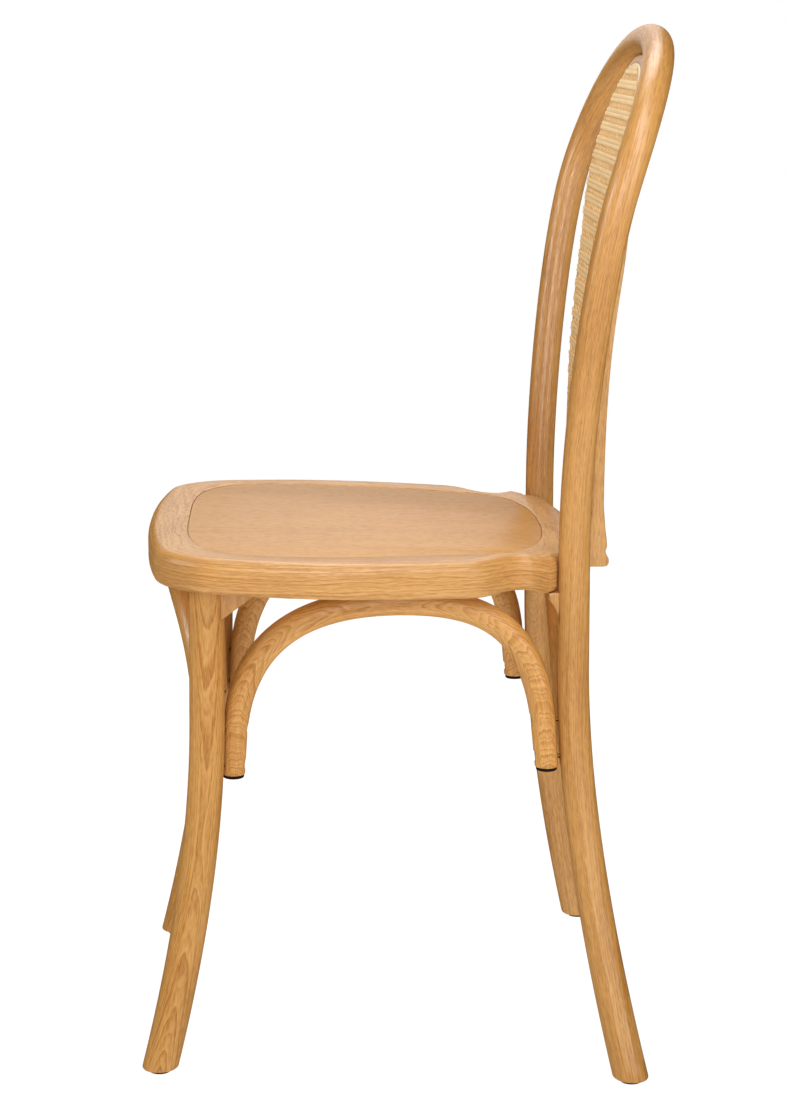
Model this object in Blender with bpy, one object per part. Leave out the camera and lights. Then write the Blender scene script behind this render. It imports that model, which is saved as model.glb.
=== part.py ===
"""A bentwood dining chair with a caned back.

Metres, +Z up. The chair faces -Y and stands on z = 0, with the origin on the floor under its middle.
Most pieces are lofts: loops of points along a path, joined by faces. One cutter holds the clearance
round every fastener, and each wooden piece is cut with it.
"""

import math

import bmesh
import bpy
import numpy as np
from mathutils import Vector
from mathutils.geometry import interpolate_bezier

# Overall and clearances
HEIGHT = 0.9000
CLEARANCE = 0.0003

# Back hoop, a bent rod: foot, knee, upright waist beside the seat, shoulder, top
HOOP_RADIUS = 0.0135
REAR_FOOT_RADIUS = 0.0152
REAR_SPLAY_X = 0.0590
REAR_SPLAY_Y = 0.0488
REAR_KNEE_Z = 0.210
WAIST_X = 0.1635
WAIST_Y = 0.1417
WAIST_LOW_Z = 0.360
WAIST_RISE = 0.008
SHOULDER_X = 0.1900
SHOULDER_Y = 0.1752
SHOULDER_Z = 0.7635
SHOULDER_LEAN = 0.289
HOOP_TOP_Y = 0.2209

# Front legs, placed from the seat's edges
FRONT_LEG_TOP_RADIUS = 0.0152
FRONT_FOOT_RADIUS = 0.0154
FRONT_LEG_INSET_X = 0.0565
FRONT_LEG_INSET_Y = 0.0562
FRONT_LEG_LEAN = 0.0013
FRONT_BEND_Z = 0.318
FRONT_KNEE_Z = 0.177
FRONT_SPLAY_X = 0.0220
FRONT_SPLAY_Y = 0.0458
TENON_RADIUS = 0.0090
TENON_LENGTH = 0.016

# Seat
SEAT_HEIGHT = 0.4555
SEAT_FALL = 0.027
SEAT_THICKNESS = 0.031
SEAT_TOP_ROUND = 0.0095
SEAT_BOTTOM_ROUND = 0.006
SEAT_FRONT_Y = -0.2290
SEAT_REAR_BOW = 0.0178
SEAT_HALF_WIDTH = 0.2185
SEAT_WIDEST_Y = -0.070
CORNER_ALONG_FRONT = 0.068
CORNER_ALONG_SIDE = 0.072
CORNER_DRAW_IN = 0.0105
SWAY_IN = 0.0160
SWAY_AHEAD = 0.0500
RIM_FRONT = 0.0360
RIM_SIDE = 0.0320
RIM_REAR = 0.0330
LEDGE = 0.042
PANEL_THICKNESS = 0.0055
PANEL_SINK = 0.0005
PANEL_EDGE = 0.0006
PANEL_WIDEST_AHEAD = 0.030
PANEL_HAUNCH_IN = 0.033
PANEL_HAUNCH_AHEAD = 0.052
EAR_OUT = 0.0105
EAR_FRONT = 0.0220
NECK_IN = 0.0015
NECK_FRONT = 0.0405

# Arch braces
ARCH_RADIUS = 0.0118
ARCH_END_RADIUS = 0.0100
ARCH_TAPER = 0.080
ARCH_END_Z = 0.2635
ARCH_STRAIGHT = 0.032
ARCH_GAP = 0.0024
ARCH_SIDE_FULLNESS = 0.73
ARCH_CROWN_FULLNESS = 0.60
SIDE_ARCH_X = 0.1590
SIDE_ARCH_Y = 0.0020
SIDE_ARCH_TUCK = 0.0140
SIDE_ARCH_FRONT_DROP = 0.0050
SIDE_ARCH_REAR_LIFT = 0.0045
FRONT_ARCH_SET = 0.0010
FRONT_ARCH_INSET = 0.0245
FRONT_ARCH_TILT = -0.06
REAR_ARCH_INSET = 0.0215
REAR_ARCH_SET = 0.0030
REAR_ARCH_DROP = 0.0020
CAP_RADIUS = 0.0090
CAP_HEIGHT = 0.003
CAP_STEM_RADIUS = 0.0035
CAP_STEM_LENGTH = 0.005

# Caned back
CANE_HOOP_WIDTH = 0.022
CANE_HOOP_DEPTH = 0.0120
CANE_HOOP_X = 0.0965
CANE_SETBACK = 0.0154
CANE_EDGE = 0.0036
CANE_SHOULDER_X = 0.1140
CANE_SHOULDER_Y = 0.1833
CANE_SHOULDER_Z = 0.728
CANE_LEAN = 0.27
CANE_SHOULDER_LEAN = 0.07
CANE_FOOT_DROP = 0.0195
CANE_FOOT_REACH = 0.0110
CANE_FOOT_HEIGHT = 0.014
CANE_FLARE = 0.040
CANE_RAIL_RISE = 0.047
CANE_THICKNESS = 0.0012
CANE_GAP = 0.0009
CANE_COLUMNS = 12
CANE_ROWS = 22
CANE_BAR_SHARE = 0.36
GROOVE_WIDTH = 0.0048
GROOVE_DEPTH = 0.0036
GROOVE_BEND = 0.016
SPLINE_PROUD = 0.0006
SPLINE_EDGE = 0.0006

# Corner blocks under the seat
FRONT_BLOCK_WIDTH = 0.020
FRONT_BLOCK_LENGTH = 0.032
FRONT_BLOCK_HEIGHT = 0.029
FRONT_BLOCK_TIP = 0.0018
REAR_BLOCK_WIDTH = 0.018
REAR_BLOCK_DEPTH = 0.0085
REAR_BLOCK_HEIGHT = 0.020
REAR_BLOCK_LIP = 0.006
REAR_BLOCK_TIP = 0.0009

# Fasteners and glides
SCREW_RADIUS = 0.0020
SCREW_HEAD_RADIUS = 0.0036
SCREW_HEAD_HEIGHT = 0.0024
SCREW_SINK = 0.0030
SCREW_BITE = 0.0150
LOW_SCREW_RISE = 0.0090
SCREW_SPACING = 0.0320
CROSS_SCREW_RISE = 0.0070
BOLT_RADIUS = 0.0030
BOLT_HEAD_RADIUS = 0.0050
BOLT_HEAD_HEIGHT = 0.0040
BOLT_BITE = 0.0300
BOLT_TURN = math.radians(30)
TOP_SCREW_X = 0.022
DOWEL_RADIUS = 0.0025
DOWEL_REACH = 0.0120
GLIDE_RADIUS = 0.0100
GLIDE_HEIGHT = 0.0030
GLIDE_CHAMFER = 0.0010
GLIDE_PIN_RADIUS = 0.0014
GLIDE_PIN_LENGTH = 0.014

# Facets, and the angle past which an edge stays sharp
ROD_SIDES = 12
FASTENER_SIDES = 8
SHARP_EDGE = math.radians(40)

UP = Vector((0, 0, 1))
REAR = Vector((0, 1, 0))
LEFT = Vector((1, 0, 0))

for old in list(bpy.data.objects):
    bpy.data.objects.remove(old)


# Materials
def material(name, colour, roughness, metallic=0.0):
    made = bpy.data.materials.new(name)
    made.use_nodes = True
    shader = made.node_tree.nodes["Principled BSDF"]
    shader.inputs["Base Color"].default_value = (*colour, 1.0)
    shader.inputs["Roughness"].default_value = roughness
    shader.inputs["Metallic"].default_value = metallic
    return made


FRAME_WOOD = material("frame_wood", (0.60, 0.36, 0.16), 0.38)
PANEL_WOOD = material("panel_wood", (0.70, 0.50, 0.29), 0.42)
CANE = material("cane", (0.82, 0.68, 0.42), 0.55)
BLACK_PLASTIC = material("black_plastic", (0.02, 0.02, 0.02), 0.5)
STEEL = material("steel", (0.55, 0.55, 0.56), 0.35, metallic=1.0)


# Paths
def joined(*runs):
    """The runs end to end, each leaving out its first point where the run before ends."""
    points = list(runs[0])
    for run in runs[1:]:
        points += run[1:]
    return points


def bend(start, start_way, end, end_way, steps, hold=0.36, end_hold=0.36):
    """A curve that leaves the start one way and comes into the end another. It holds each way over that
    share of the distance between them."""
    start = Vector(start)
    end = Vector(end)
    distance = (end - start).length
    first_handle = start + Vector(start_way).normalized() * (hold * distance)
    second_handle = end - Vector(end_way).normalized() * (end_hold * distance)
    return interpolate_bezier(start, first_handle, second_handle, end, steps)


def quarter_turn(first, last, count):
    """Evenly spaced angles, given in degrees."""
    return [math.radians(angle) for angle in np.linspace(first, last, count)]


def sweep_out(top, knee_z, foot, steps):
    """A leg's bent lower part: upright at the top, then sweeping out to the foot."""
    top = Vector(top)
    foot = Vector(foot)
    knee = Vector((top.x, top.y, knee_z))
    return interpolate_bezier(top, top.lerp(knee, 2 / 3), foot.lerp(knee, 2 / 3), foot, steps)


def mirrored(point):
    return Vector((-point.x, point.y, point.z))


def both_sides(path):
    """A path that ends at x = 0, carried on along its mirror image."""
    return path + [mirrored(point) for point in reversed(path[:-1])]


def at_height(path, z):
    """Where the path first crosses this height."""
    for start, end in zip(path, path[1:]):
        if (start.z - z) * (end.z - z) <= 0 and start.z != end.z:
            return start.lerp(end, (z - start.z) / (end.z - start.z))
    raise ValueError("the path doesn't reach that height")


# Lofts
def round_ring(radius, sides=ROD_SIDES):
    turns = [2 * math.pi * k / sides for k in range(sides)]
    return [(radius * math.cos(turn), radius * math.sin(turn)) for turn in turns]


def box_ring(half_width, front, rear, corner):
    """A rectangle across the path, with chamfered corners. Front and rear are along the facing."""
    return [
        (half_width, rear - corner),
        (half_width - corner, rear),
        (corner - half_width, rear),
        (-half_width, rear - corner),
        (-half_width, front + corner),
        (corner - half_width, front),
        (half_width - corner, front),
        (half_width, front + corner),
    ]


def swept(path, rings, facing, closed=False, planes=None):
    """The loops of a sweep. Each ring's points are (side, face) offsets, where face is the part of the
    facing square to the path. A station listed in planes has its loop slid onto that plane."""
    count = len(path)
    loops = []
    for k, (point, ring) in enumerate(zip(path, rings)):
        before = path[k - 1] if closed or k > 0 else point
        after = path[(k + 1) % count] if closed or k < count - 1 else point
        along = (after - before).normalized()
        towards = facing[k] if isinstance(facing, list) else facing
        side = towards.cross(along).normalized()
        face = along.cross(side)
        loop = [point + side * across + face * through for across, through in ring]
        if planes and k in planes:
            origin, normal = planes[k]
            loop = [p + along * ((origin - p).dot(normal) / along.dot(normal)) for p in loop]
        loops.append(loop)
    return loops


def add_loft(shape, loops, closed=False):
    """Adds the solid through these loops, with end caps unless it closes on itself."""
    rows = [[shape.verts.new(point) for point in loop] for loop in loops]
    for first, second in zip(rows, rows[1:] + (rows[:1] if closed else [])):
        for k in range(len(first)):
            shape.faces.new((first[k - 1], first[k], second[k], second[k - 1]))
    if not closed:
        shape.faces.new(reversed(rows[0]))
        shape.faces.new(rows[-1])


def solid(name, shape, finish):
    bmesh.ops.recalc_face_normals(shape, faces=shape.faces)
    mesh = bpy.data.meshes.new(name)
    shape.to_mesh(mesh)
    shape.free()
    mesh.shade_smooth()
    mesh.set_sharp_from_angle(angle=SHARP_EDGE)
    mesh.materials.append(finish)
    made = bpy.data.objects.new(name, mesh)
    bpy.context.collection.objects.link(made)
    return made


def loft(name, loops, finish, closed=False):
    shape = bmesh.new()
    add_loft(shape, loops, closed)
    return solid(name, shape, finish)


# Fasteners: a profile is a list of (distance along the axis, radius)
holes = bmesh.new()


def turned_loops(profile, start, axis):
    axis = Vector(axis).normalized()
    facing = REAR if abs(axis.y) < 0.7 else UP
    path = [Vector(start) + axis * distance for distance, _ in profile]
    rings = [round_ring(radius, FASTENER_SIDES) for _, radius in profile]
    side = facing.cross(axis).normalized()
    face = axis.cross(side)
    return [[p + side * u + face * v for u, v in ring] for p, ring in zip(path, rings)]


def fastener(name, profile, start, axis, finish, open_by):
    """A turned piece, and its clearance in the holes, opened by this much in front of its start."""
    loft(name, turned_loops(profile, start, axis), finish)
    wider = [(distance, radius + CLEARANCE) for distance, radius in profile]
    wider[-1] = (wider[-1][0] + CLEARANCE, wider[-1][1])
    wider[0] = (wider[0][0] - open_by, wider[0][1])
    add_loft(holes, turned_loops(wider, start, axis))


def headed_profile(head_radius, head_height, shank_radius, length):
    """A flat head, a cone down to the shank, and a blunt tip."""
    tip_length = shank_radius
    return [
        (0, head_radius),
        (head_height / 3, head_radius),
        (head_height, shank_radius),
        (length - tip_length, shank_radius),
        (length, shank_radius / 3),
    ]


def screw(name, start, axis, length):
    profile = headed_profile(SCREW_HEAD_RADIUS, SCREW_HEAD_HEIGHT, SCREW_RADIUS, length)
    fastener(name, profile, start, axis, STEEL, open_by=2 * SCREW_SINK)


# Heights of the tilted seat
SEAT_SQUARE = Vector((0, SEAT_FALL, 1)).normalized()


def seat_top(y):
    return SEAT_HEIGHT - SEAT_FALL * y


def seat_bottom(y):
    return seat_top(y) - SEAT_THICKNESS


notch_radius = HOOP_RADIUS + CLEARANCE * 2
seat_rear_y = WAIST_Y + SEAT_REAR_BOW


def rear_edge(x):
    """The seat's rear edge, a shallow bow between the two rear legs."""
    return seat_rear_y - SEAT_REAR_BOW * (x / (WAIST_X - notch_radius)) ** 2


# Back hoop
waist_low = Vector((WAIST_X, WAIST_Y, WAIST_LOW_Z))
waist_high = Vector((WAIST_X, WAIST_Y, seat_top(WAIST_Y) + WAIST_RISE))
rear_foot = Vector((WAIST_X + REAR_SPLAY_X, WAIST_Y + REAR_SPLAY_Y, GLIDE_HEIGHT))
shoulder = Vector((SHOULDER_X, SHOULDER_Y, SHOULDER_Z))
shoulder_way = Vector((0, SHOULDER_LEAN, 1))
hoop_top = Vector((0, HOOP_TOP_Y, HEIGHT - HOOP_RADIUS))
rear_leg = list(reversed(sweep_out(waist_low, REAR_KNEE_Z, rear_foot, 9)))
hoop_side = bend(waist_high, UP, shoulder, shoulder_way, 10, hold=0.337, end_hold=0.206)
hoop_crown = bend(shoulder, shoulder_way, hoop_top, -LEFT, 11, hold=0.288, end_hold=0.592)
hoop_half = rear_leg + joined(hoop_side, hoop_crown)
hoop_path = both_sides(hoop_half)


def hoop_radius(z):
    """The rod thickens from the seat down to the foot."""
    return HOOP_RADIUS + (REAR_FOOT_RADIUS - HOOP_RADIUS) * max(0, 1 - z / waist_high.z)


floor_level = (UP * GLIDE_HEIGHT, UP)
back_hoop = loft(
    "back_hoop",
    swept(
        hoop_path,
        [round_ring(hoop_radius(point.z)) for point in hoop_path],
        REAR,
        planes={0: floor_level, len(hoop_path) - 1: floor_level},
    ),
    FRAME_WOOD,
)

# Front legs
front_leg_x = SEAT_HALF_WIDTH - FRONT_LEG_INSET_X
front_leg_y = SEAT_FRONT_Y + FRONT_LEG_INSET_Y
leg_top = Vector((front_leg_x, front_leg_y, seat_bottom(front_leg_y) - CLEARANCE))
leg_bend = Vector((front_leg_x, front_leg_y - FRONT_LEG_LEAN, FRONT_BEND_Z))
front_foot = Vector((front_leg_x + FRONT_SPLAY_X, front_leg_y - FRONT_SPLAY_Y, GLIDE_HEIGHT))
leg_way = (leg_top - leg_bend).normalized()
front_leg_path = list(reversed(sweep_out(leg_bend, FRONT_KNEE_Z, front_foot, 9))) + [leg_top]
leg_stations = front_leg_path + [leg_top, leg_top + leg_way * TENON_LENGTH]
shoulder_index = len(front_leg_path) - 1


def front_leg_radius(z):
    return FRONT_FOOT_RADIUS + (FRONT_LEG_TOP_RADIUS - FRONT_FOOT_RADIUS) * z / leg_top.z


leg_rings = [round_ring(front_leg_radius(point.z)) for point in front_leg_path]
leg_rings += [round_ring(TENON_RADIUS)] * 2
leg_planes = {
    0: floor_level,
    shoulder_index: (leg_top, SEAT_SQUARE),
    shoulder_index + 1: (leg_top, SEAT_SQUARE),
}
socket_rings = [round_ring(TENON_RADIUS + CLEARANCE)] * 2
sockets = bmesh.new()
front_legs = []
for side_name, flip in (("left", False), ("right", True)):
    stations = [mirrored(p) for p in leg_stations] if flip else leg_stations
    leg_loops = swept(stations, leg_rings, REAR, planes=leg_planes)
    front_legs.append(loft(f"front_leg_{side_name}", leg_loops, FRAME_WOOD))
    way = (stations[-1] - stations[-2]).normalized()
    socket_path = [stations[-2] - way * TENON_RADIUS, stations[-1] + way * CLEARANCE]
    add_loft(sockets, swept(socket_path, socket_rings, REAR))


# Seat frame and panel, flat in their own frame with the top at z = 0, then tilted
def seat_half_outline():
    """From the middle of the front edge round the left side to the middle of the rear edge."""
    front_middle = Vector((0, SEAT_FRONT_Y))
    front_end = Vector((SEAT_HALF_WIDTH - CORNER_ALONG_FRONT, SEAT_FRONT_Y + CORNER_DRAW_IN))
    side_start = Vector((SEAT_HALF_WIDTH - CORNER_DRAW_IN, SEAT_FRONT_Y + CORNER_ALONG_SIDE))
    widest = Vector((SEAT_HALF_WIDTH, SEAT_WIDEST_Y))
    neck = Vector((WAIST_X - NECK_IN, WAIST_Y - NECK_FRONT))
    sway = Vector((SEAT_HALF_WIDTH - SWAY_IN, neck.y - SWAY_AHEAD))
    ear = Vector((WAIST_X + EAR_OUT, WAIST_Y - EAR_FRONT))
    across = (1, 0)
    back = (0, 1)
    into_corner = (1, 0.15)
    out_of_corner = (0.185, 1)
    towards_neck = (-0.235, 1)
    past_neck = (-0.13, 1)
    front = bend(front_middle, across, front_end, into_corner, 6)
    corner = bend(front_end, into_corner, side_start, out_of_corner, 8)
    fore_side = bend(side_start, out_of_corner, widest, back, 5)
    aft_side = bend(widest, back, sway, towards_neck, 7)
    to_neck = bend(sway, towards_neck, neck, past_neck, 7)
    to_ear = bend(neck, past_neck, ear, (1, 0.9), 4)
    notch = [
        Vector((WAIST_X - notch_radius * math.sin(turn), WAIST_Y - notch_radius * math.cos(turn)))
        for turn in quarter_turn(0, 90, 5)
    ]
    rear = [Vector((x, rear_edge(x))) for x in np.linspace(notch[-1].x, 0, 8)]
    return joined(front, corner, fore_side, aft_side, to_neck, to_ear) + joined(notch, rear)


def panel_half_outline():
    """The line between rim and panel, in the same order."""
    half_width = SEAT_HALF_WIDTH - RIM_SIDE
    front_middle = Vector((0, SEAT_FRONT_Y + RIM_FRONT))
    rear_middle = Vector((0, seat_rear_y - RIM_REAR))
    side = Vector((half_width, SEAT_WIDEST_Y - PANEL_WIDEST_AHEAD))
    haunch = Vector((half_width - PANEL_HAUNCH_IN, rear_middle.y - PANEL_HAUNCH_AHEAD))
    haunch_way = (-0.27, 1)
    front = bend(front_middle, (1, 0), side, (0, 1), 12, hold=0.53, end_hold=0.46)
    flank = bend(side, (0, 1), haunch, haunch_way, 8)
    rear = bend(haunch, haunch_way, rear_middle, (-1, 0), 12, hold=0.24, end_hold=0.525)
    return joined(front, flank, rear)


seat_middle = Vector((0, (SEAT_FRONT_Y + seat_rear_y) / 2))


def polar(points):
    """Angles from the front, and distances from the middle of the seat."""
    offsets = [point - seat_middle for point in points]
    return [math.atan2(abs(o.x), -o.y) for o in offsets], [o.length for o in offsets]


outline_angles, outline_reach = polar(seat_half_outline())
panel_reach = np.interp(outline_angles, *polar(panel_half_outline()))
full_angles = outline_angles + [-angle for angle in reversed(outline_angles[1:-1])]
full_outline_reach = outline_reach + outline_reach[-2:0:-1]
full_panel_reach = list(panel_reach) + list(panel_reach[-2:0:-1])


def seat_point(angle, reach, z):
    return Vector((reach * math.sin(angle), seat_middle.y - reach * math.cos(angle), z))


def seat_section(angle, outer, panel):
    """The frame's section at this angle: rounded rim, rebate for the panel, ledge under it."""
    rebate = -(PANEL_THICKNESS + PANEL_SINK + CLEARANCE)
    top_reach = outer - SEAT_TOP_ROUND
    low_reach = outer - SEAT_BOTTOM_ROUND
    low_z = SEAT_BOTTOM_ROUND - SEAT_THICKNESS
    top_edge = [
        (top_reach + SEAT_TOP_ROUND * math.cos(turn), SEAT_TOP_ROUND * (math.sin(turn) - 1))
        for turn in quarter_turn(90, 0, 4)
    ]
    low_edge = [
        (low_reach + SEAT_BOTTOM_ROUND * math.cos(turn), low_z + SEAT_BOTTOM_ROUND * math.sin(turn))
        for turn in quarter_turn(0, -90, 3)
    ]
    inner = panel - LEDGE
    section = [(panel, 0), *top_edge, *low_edge, (inner, -SEAT_THICKNESS), (inner, rebate), (panel, rebate)]
    return [seat_point(angle, reach, z) for reach, z in section]


def tilt_to_seat(piece):
    piece.location.z = SEAT_HEIGHT
    piece.rotation_euler.x = -math.atan(SEAT_FALL)


seat_frame = loft(
    "seat_frame",
    [seat_section(*station) for station in zip(full_angles, full_outline_reach, full_panel_reach)],
    FRAME_WOOD,
    closed=True,
)
tilt_to_seat(seat_frame)
panel_levels = [
    (CLEARANCE, -PANEL_SINK - PANEL_THICKNESS),
    (CLEARANCE, -PANEL_SINK - PANEL_EDGE),
    (CLEARANCE + PANEL_EDGE, -PANEL_SINK),
]
seat_panel = loft(
    "seat_panel",
    [
        [seat_point(angle, reach - inset, z) for angle, reach in zip(full_angles, full_panel_reach)]
        for inset, z in panel_levels
    ],
    PANEL_WOOD,
)
tilt_to_seat(seat_panel)


# Arch braces, with two screws and a cap at each end and one screw at the crown
def crown_z(y):
    return seat_bottom(y) - ARCH_RADIUS - CLEARANCE * 2


def arch_radius(z):
    """The rod is thinner at its ends."""
    share = min(1, max(0, (z - ARCH_END_Z) / ARCH_TAPER))
    return ARCH_END_RADIUS + (ARCH_RADIUS - ARCH_END_RADIUS) * share


def arch_half(leg, end_z, towards, shift, middle, along, tilt):
    """Half of an arch, from its end beside a leg to the middle of the crown. The end stands on this side
    of the leg, moved by the shift, and runs parallel to the leg apart from the tilt in y."""
    leg_path, radius_at = leg
    low = at_height(leg_path, end_z)
    high = at_height(leg_path, end_z + ARCH_STRAIGHT)
    reach = ARCH_END_RADIUS + radius_at(end_z) + ARCH_GAP
    end = low + shift + towards * math.sqrt(reach**2 - shift.length_squared)
    straight = high - low + Vector((0, tilt * ARCH_STRAIGHT, 0))
    bend_start = end + straight
    bend_handle = bend_start + straight * (ARCH_SIDE_FULLNESS * (middle.z - bend_start.z) / ARCH_STRAIGHT)
    crown_handle = middle + along * (ARCH_CROWN_FULLNESS * (end - middle).dot(along))
    return [end] + interpolate_bezier(bend_start, bend_handle, crown_handle, middle, 11)


def cap(name, end):
    """A black cap under an arch's end, with a stem up into it."""
    profile = [
        (0, CAP_RADIUS),
        (CAP_HEIGHT, CAP_RADIUS),
        (CAP_HEIGHT, CAP_STEM_RADIUS),
        (CAP_HEIGHT + CAP_STEM_LENGTH, CAP_STEM_RADIUS),
    ]
    hole_radius = CAP_STEM_RADIUS + CLEARANCE
    hole = [(-CAP_HEIGHT, hole_radius), (CAP_STEM_LENGTH + CLEARANCE, hole_radius)]
    loft(name, turned_loops(profile, end - UP * (CAP_HEIGHT + CLEARANCE), UP), BLACK_PLASTIC)
    add_loft(holes, turned_loops(hole, end, UP))


def end_screws(name, arch_path, leg, low_z):
    """Two screws from the arch's free side into the leg, the lower one at this height."""
    leg_path, radius_at = leg
    for row in range(2):
        height = low_z + row * SCREW_SPACING
        here = at_height(arch_path, height)
        axis = at_height(leg_path, height) - here
        inside = arch_radius(height) - SCREW_SINK
        length = inside + axis.length - radius_at(height) + SCREW_BITE
        screw(f"{name}_{row + 1}", here - axis.normalized() * inside, axis, length)


def arch(name, ends, middle_x, middle_y, along, tilt=0.0):
    """A brace between two legs. Each end is (its name, the leg, heights of the end and of its lower screw,
    side of the leg, shift)."""
    middle = Vector((middle_x, middle_y, crown_z(middle_y)))
    halves = [arch_half(leg, end_z, *place, middle, along, tilt) for _, leg, end_z, _, *place in ends]
    path = halves[0] + halves[1][-2::-1]
    rings = [round_ring(arch_radius(point.z)) for point in path]
    level = {0: (path[0], UP), len(path) - 1: (path[-1], UP)}
    for (end_name, leg, _, screw_z, _, _), half in zip(ends, halves):
        end_screws(f"{name}_screw_{end_name}", half, leg, screw_z)
        cap(f"{name}_cap_{end_name}", half[0])
    screw_length = 2 * ARCH_RADIUS - SCREW_SINK + SCREW_BITE
    screw(f"{name}_seat_screw", middle - UP * (ARCH_RADIUS - SCREW_SINK), UP, screw_length)
    return loft(name, swept(path, rings, along.cross(UP), planes=level), FRAME_WOOD)


front_left = (front_leg_path, front_leg_radius)
front_right = ([mirrored(p) for p in front_leg_path], front_leg_radius)
rear_left = (hoop_half, hoop_radius)
rear_right = ([mirrored(p) for p in hoop_half], hoop_radius)
no_shift = Vector((0, 0, 0))
tuck = Vector((SIDE_ARCH_TUCK, 0, 0))
set_back = Vector((0, FRONT_ARCH_SET, 0))
set_ahead = Vector((0, -REAR_ARCH_SET, 0))
down_the_seat = Vector((0, 1, -SEAT_FALL))
side_front_z = ARCH_END_Z - SIDE_ARCH_FRONT_DROP
side_rear_z = ARCH_END_Z + SIDE_ARCH_REAR_LIFT
front_screw_z = side_front_z + LOW_SCREW_RISE
rear_screw_z = side_rear_z + LOW_SCREW_RISE
front_cross = (ARCH_END_Z, front_screw_z + CROSS_SCREW_RISE)
rear_cross = (ARCH_END_Z - REAR_ARCH_DROP, rear_screw_z + CROSS_SCREW_RISE)
arches = []
for side_name, outwards, front_leg, rear_leg in (
    ("left", 1, front_left, rear_left),
    ("right", -1, front_right, rear_right),
):
    side_ends = (
        ("front", front_leg, side_front_z, front_screw_z, REAR, -outwards * tuck),
        ("rear", rear_leg, side_rear_z, rear_screw_z, -REAR, no_shift),
    )
    arches.append(
        arch(f"side_arch_{side_name}", side_ends, outwards * SIDE_ARCH_X, SIDE_ARCH_Y, down_the_seat)
    )
front_ends = (
    ("left", front_left, *front_cross, -LEFT, set_back),
    ("right", front_right, *front_cross, LEFT, set_back),
)
rear_ends = (
    ("left", rear_left, *rear_cross, -LEFT, set_ahead),
    ("right", rear_right, *rear_cross, LEFT, set_ahead),
)
front_crown_y = SEAT_FRONT_Y + FRONT_ARCH_INSET
arches.append(arch("front_arch", front_ends, 0, front_crown_y, -LEFT, FRONT_ARCH_TILT))
arches.append(arch("rear_arch", rear_ends, 0, seat_rear_y - REAR_ARCH_INSET, -LEFT))


# Caned back: hoop, rail, spline and sheet
def back_normal(z):
    """Rearwards, square to the leaning back."""
    share = (z - cane_rail_z) / (CANE_SHOULDER_Z - cane_rail_z)
    return Vector((0, 1, -CANE_LEAN * min(1, max(0, share)))).normalized()


half_width = CANE_HOOP_WIDTH / 2
half_depth = CANE_HOOP_DEPTH / 2
cane_rail_z = seat_top(WAIST_Y) + CANE_RAIL_RISE
cane_foot_y = rear_edge(CANE_HOOP_X) + CANE_SETBACK
cane_foot_z = seat_top(cane_foot_y) - CANE_FOOT_DROP
up_the_back = Vector((0, CANE_LEAN, 1)).normalized()
cane_foot = Vector((CANE_HOOP_X, cane_foot_y, cane_foot_z))
flare_low = cane_foot + Vector((0, 0, CANE_FOOT_HEIGHT))
flare_high = flare_low + Vector((0, 0, CANE_FLARE))
cane_shoulder = Vector((CANE_SHOULDER_X, CANE_SHOULDER_Y, CANE_SHOULDER_Z))
cane_top = hoop_top - up_the_back * (HOOP_RADIUS + CLEARANCE * 2 + half_width)
strand_way = Vector((0, CANE_SHOULDER_LEAN, 1))


def cane_strand(steps):
    """The hoop's axis from above the foot up to the shoulder."""
    return bend(flare_high, UP, cane_shoulder, strand_way, steps, hold=0.62, end_hold=0.25)


def cane_crown(steps):
    """The hoop's axis from the shoulder to the middle of the top."""
    return bend(cane_shoulder, strand_way, cane_top, -LEFT, steps, hold=0.36, end_hold=0.50)


cane_half = joined([cane_foot, flare_low, flare_high], cane_strand(9), cane_crown(10))
cane_path = both_sides(cane_half)
foot_front = rear_edge(CANE_HOOP_X - half_width) + CLEARANCE * 2 - cane_foot_y
foot_ring = box_ring(half_width, foot_front, CANE_FOOT_REACH, CANE_EDGE)
strand_ring = box_ring(half_width, -half_depth, half_depth, CANE_EDGE)
cane_rings = [foot_ring] * 2 + [strand_ring] * (len(cane_path) - 4) + [foot_ring] * 2
cane_hoop = loft(
    "cane_hoop",
    swept(cane_path, cane_rings, [back_normal(point.z) for point in cane_path]),
    FRAME_WOOD,
)
behind_groove = GROOVE_DEPTH / 2
rail_middle = Vector((0, at_height(cane_half, cane_rail_z).y, cane_rail_z))
rail_reach = Vector((CANE_HOOP_X - half_width - CLEARANCE, 0, 0))
cane_rail = loft(
    "cane_rail",
    swept([rail_middle - rail_reach, rail_middle + rail_reach], [strand_ring] * 2, REAR),
    FRAME_WOOD,
)
for side_name, outwards in (("left", 1), ("right", -1)):
    axis = Vector((outwards, 0, 0))
    dowel_start = rail_middle + axis * (rail_reach.x - DOWEL_REACH) + REAR * behind_groove
    dowel = [(0, DOWEL_RADIUS), (2 * DOWEL_REACH, DOWEL_RADIUS)]
    fastener(f"rail_dowel_{side_name}", dowel, dowel_start, axis, FRAME_WOOD, open_by=CLEARANCE)

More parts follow.
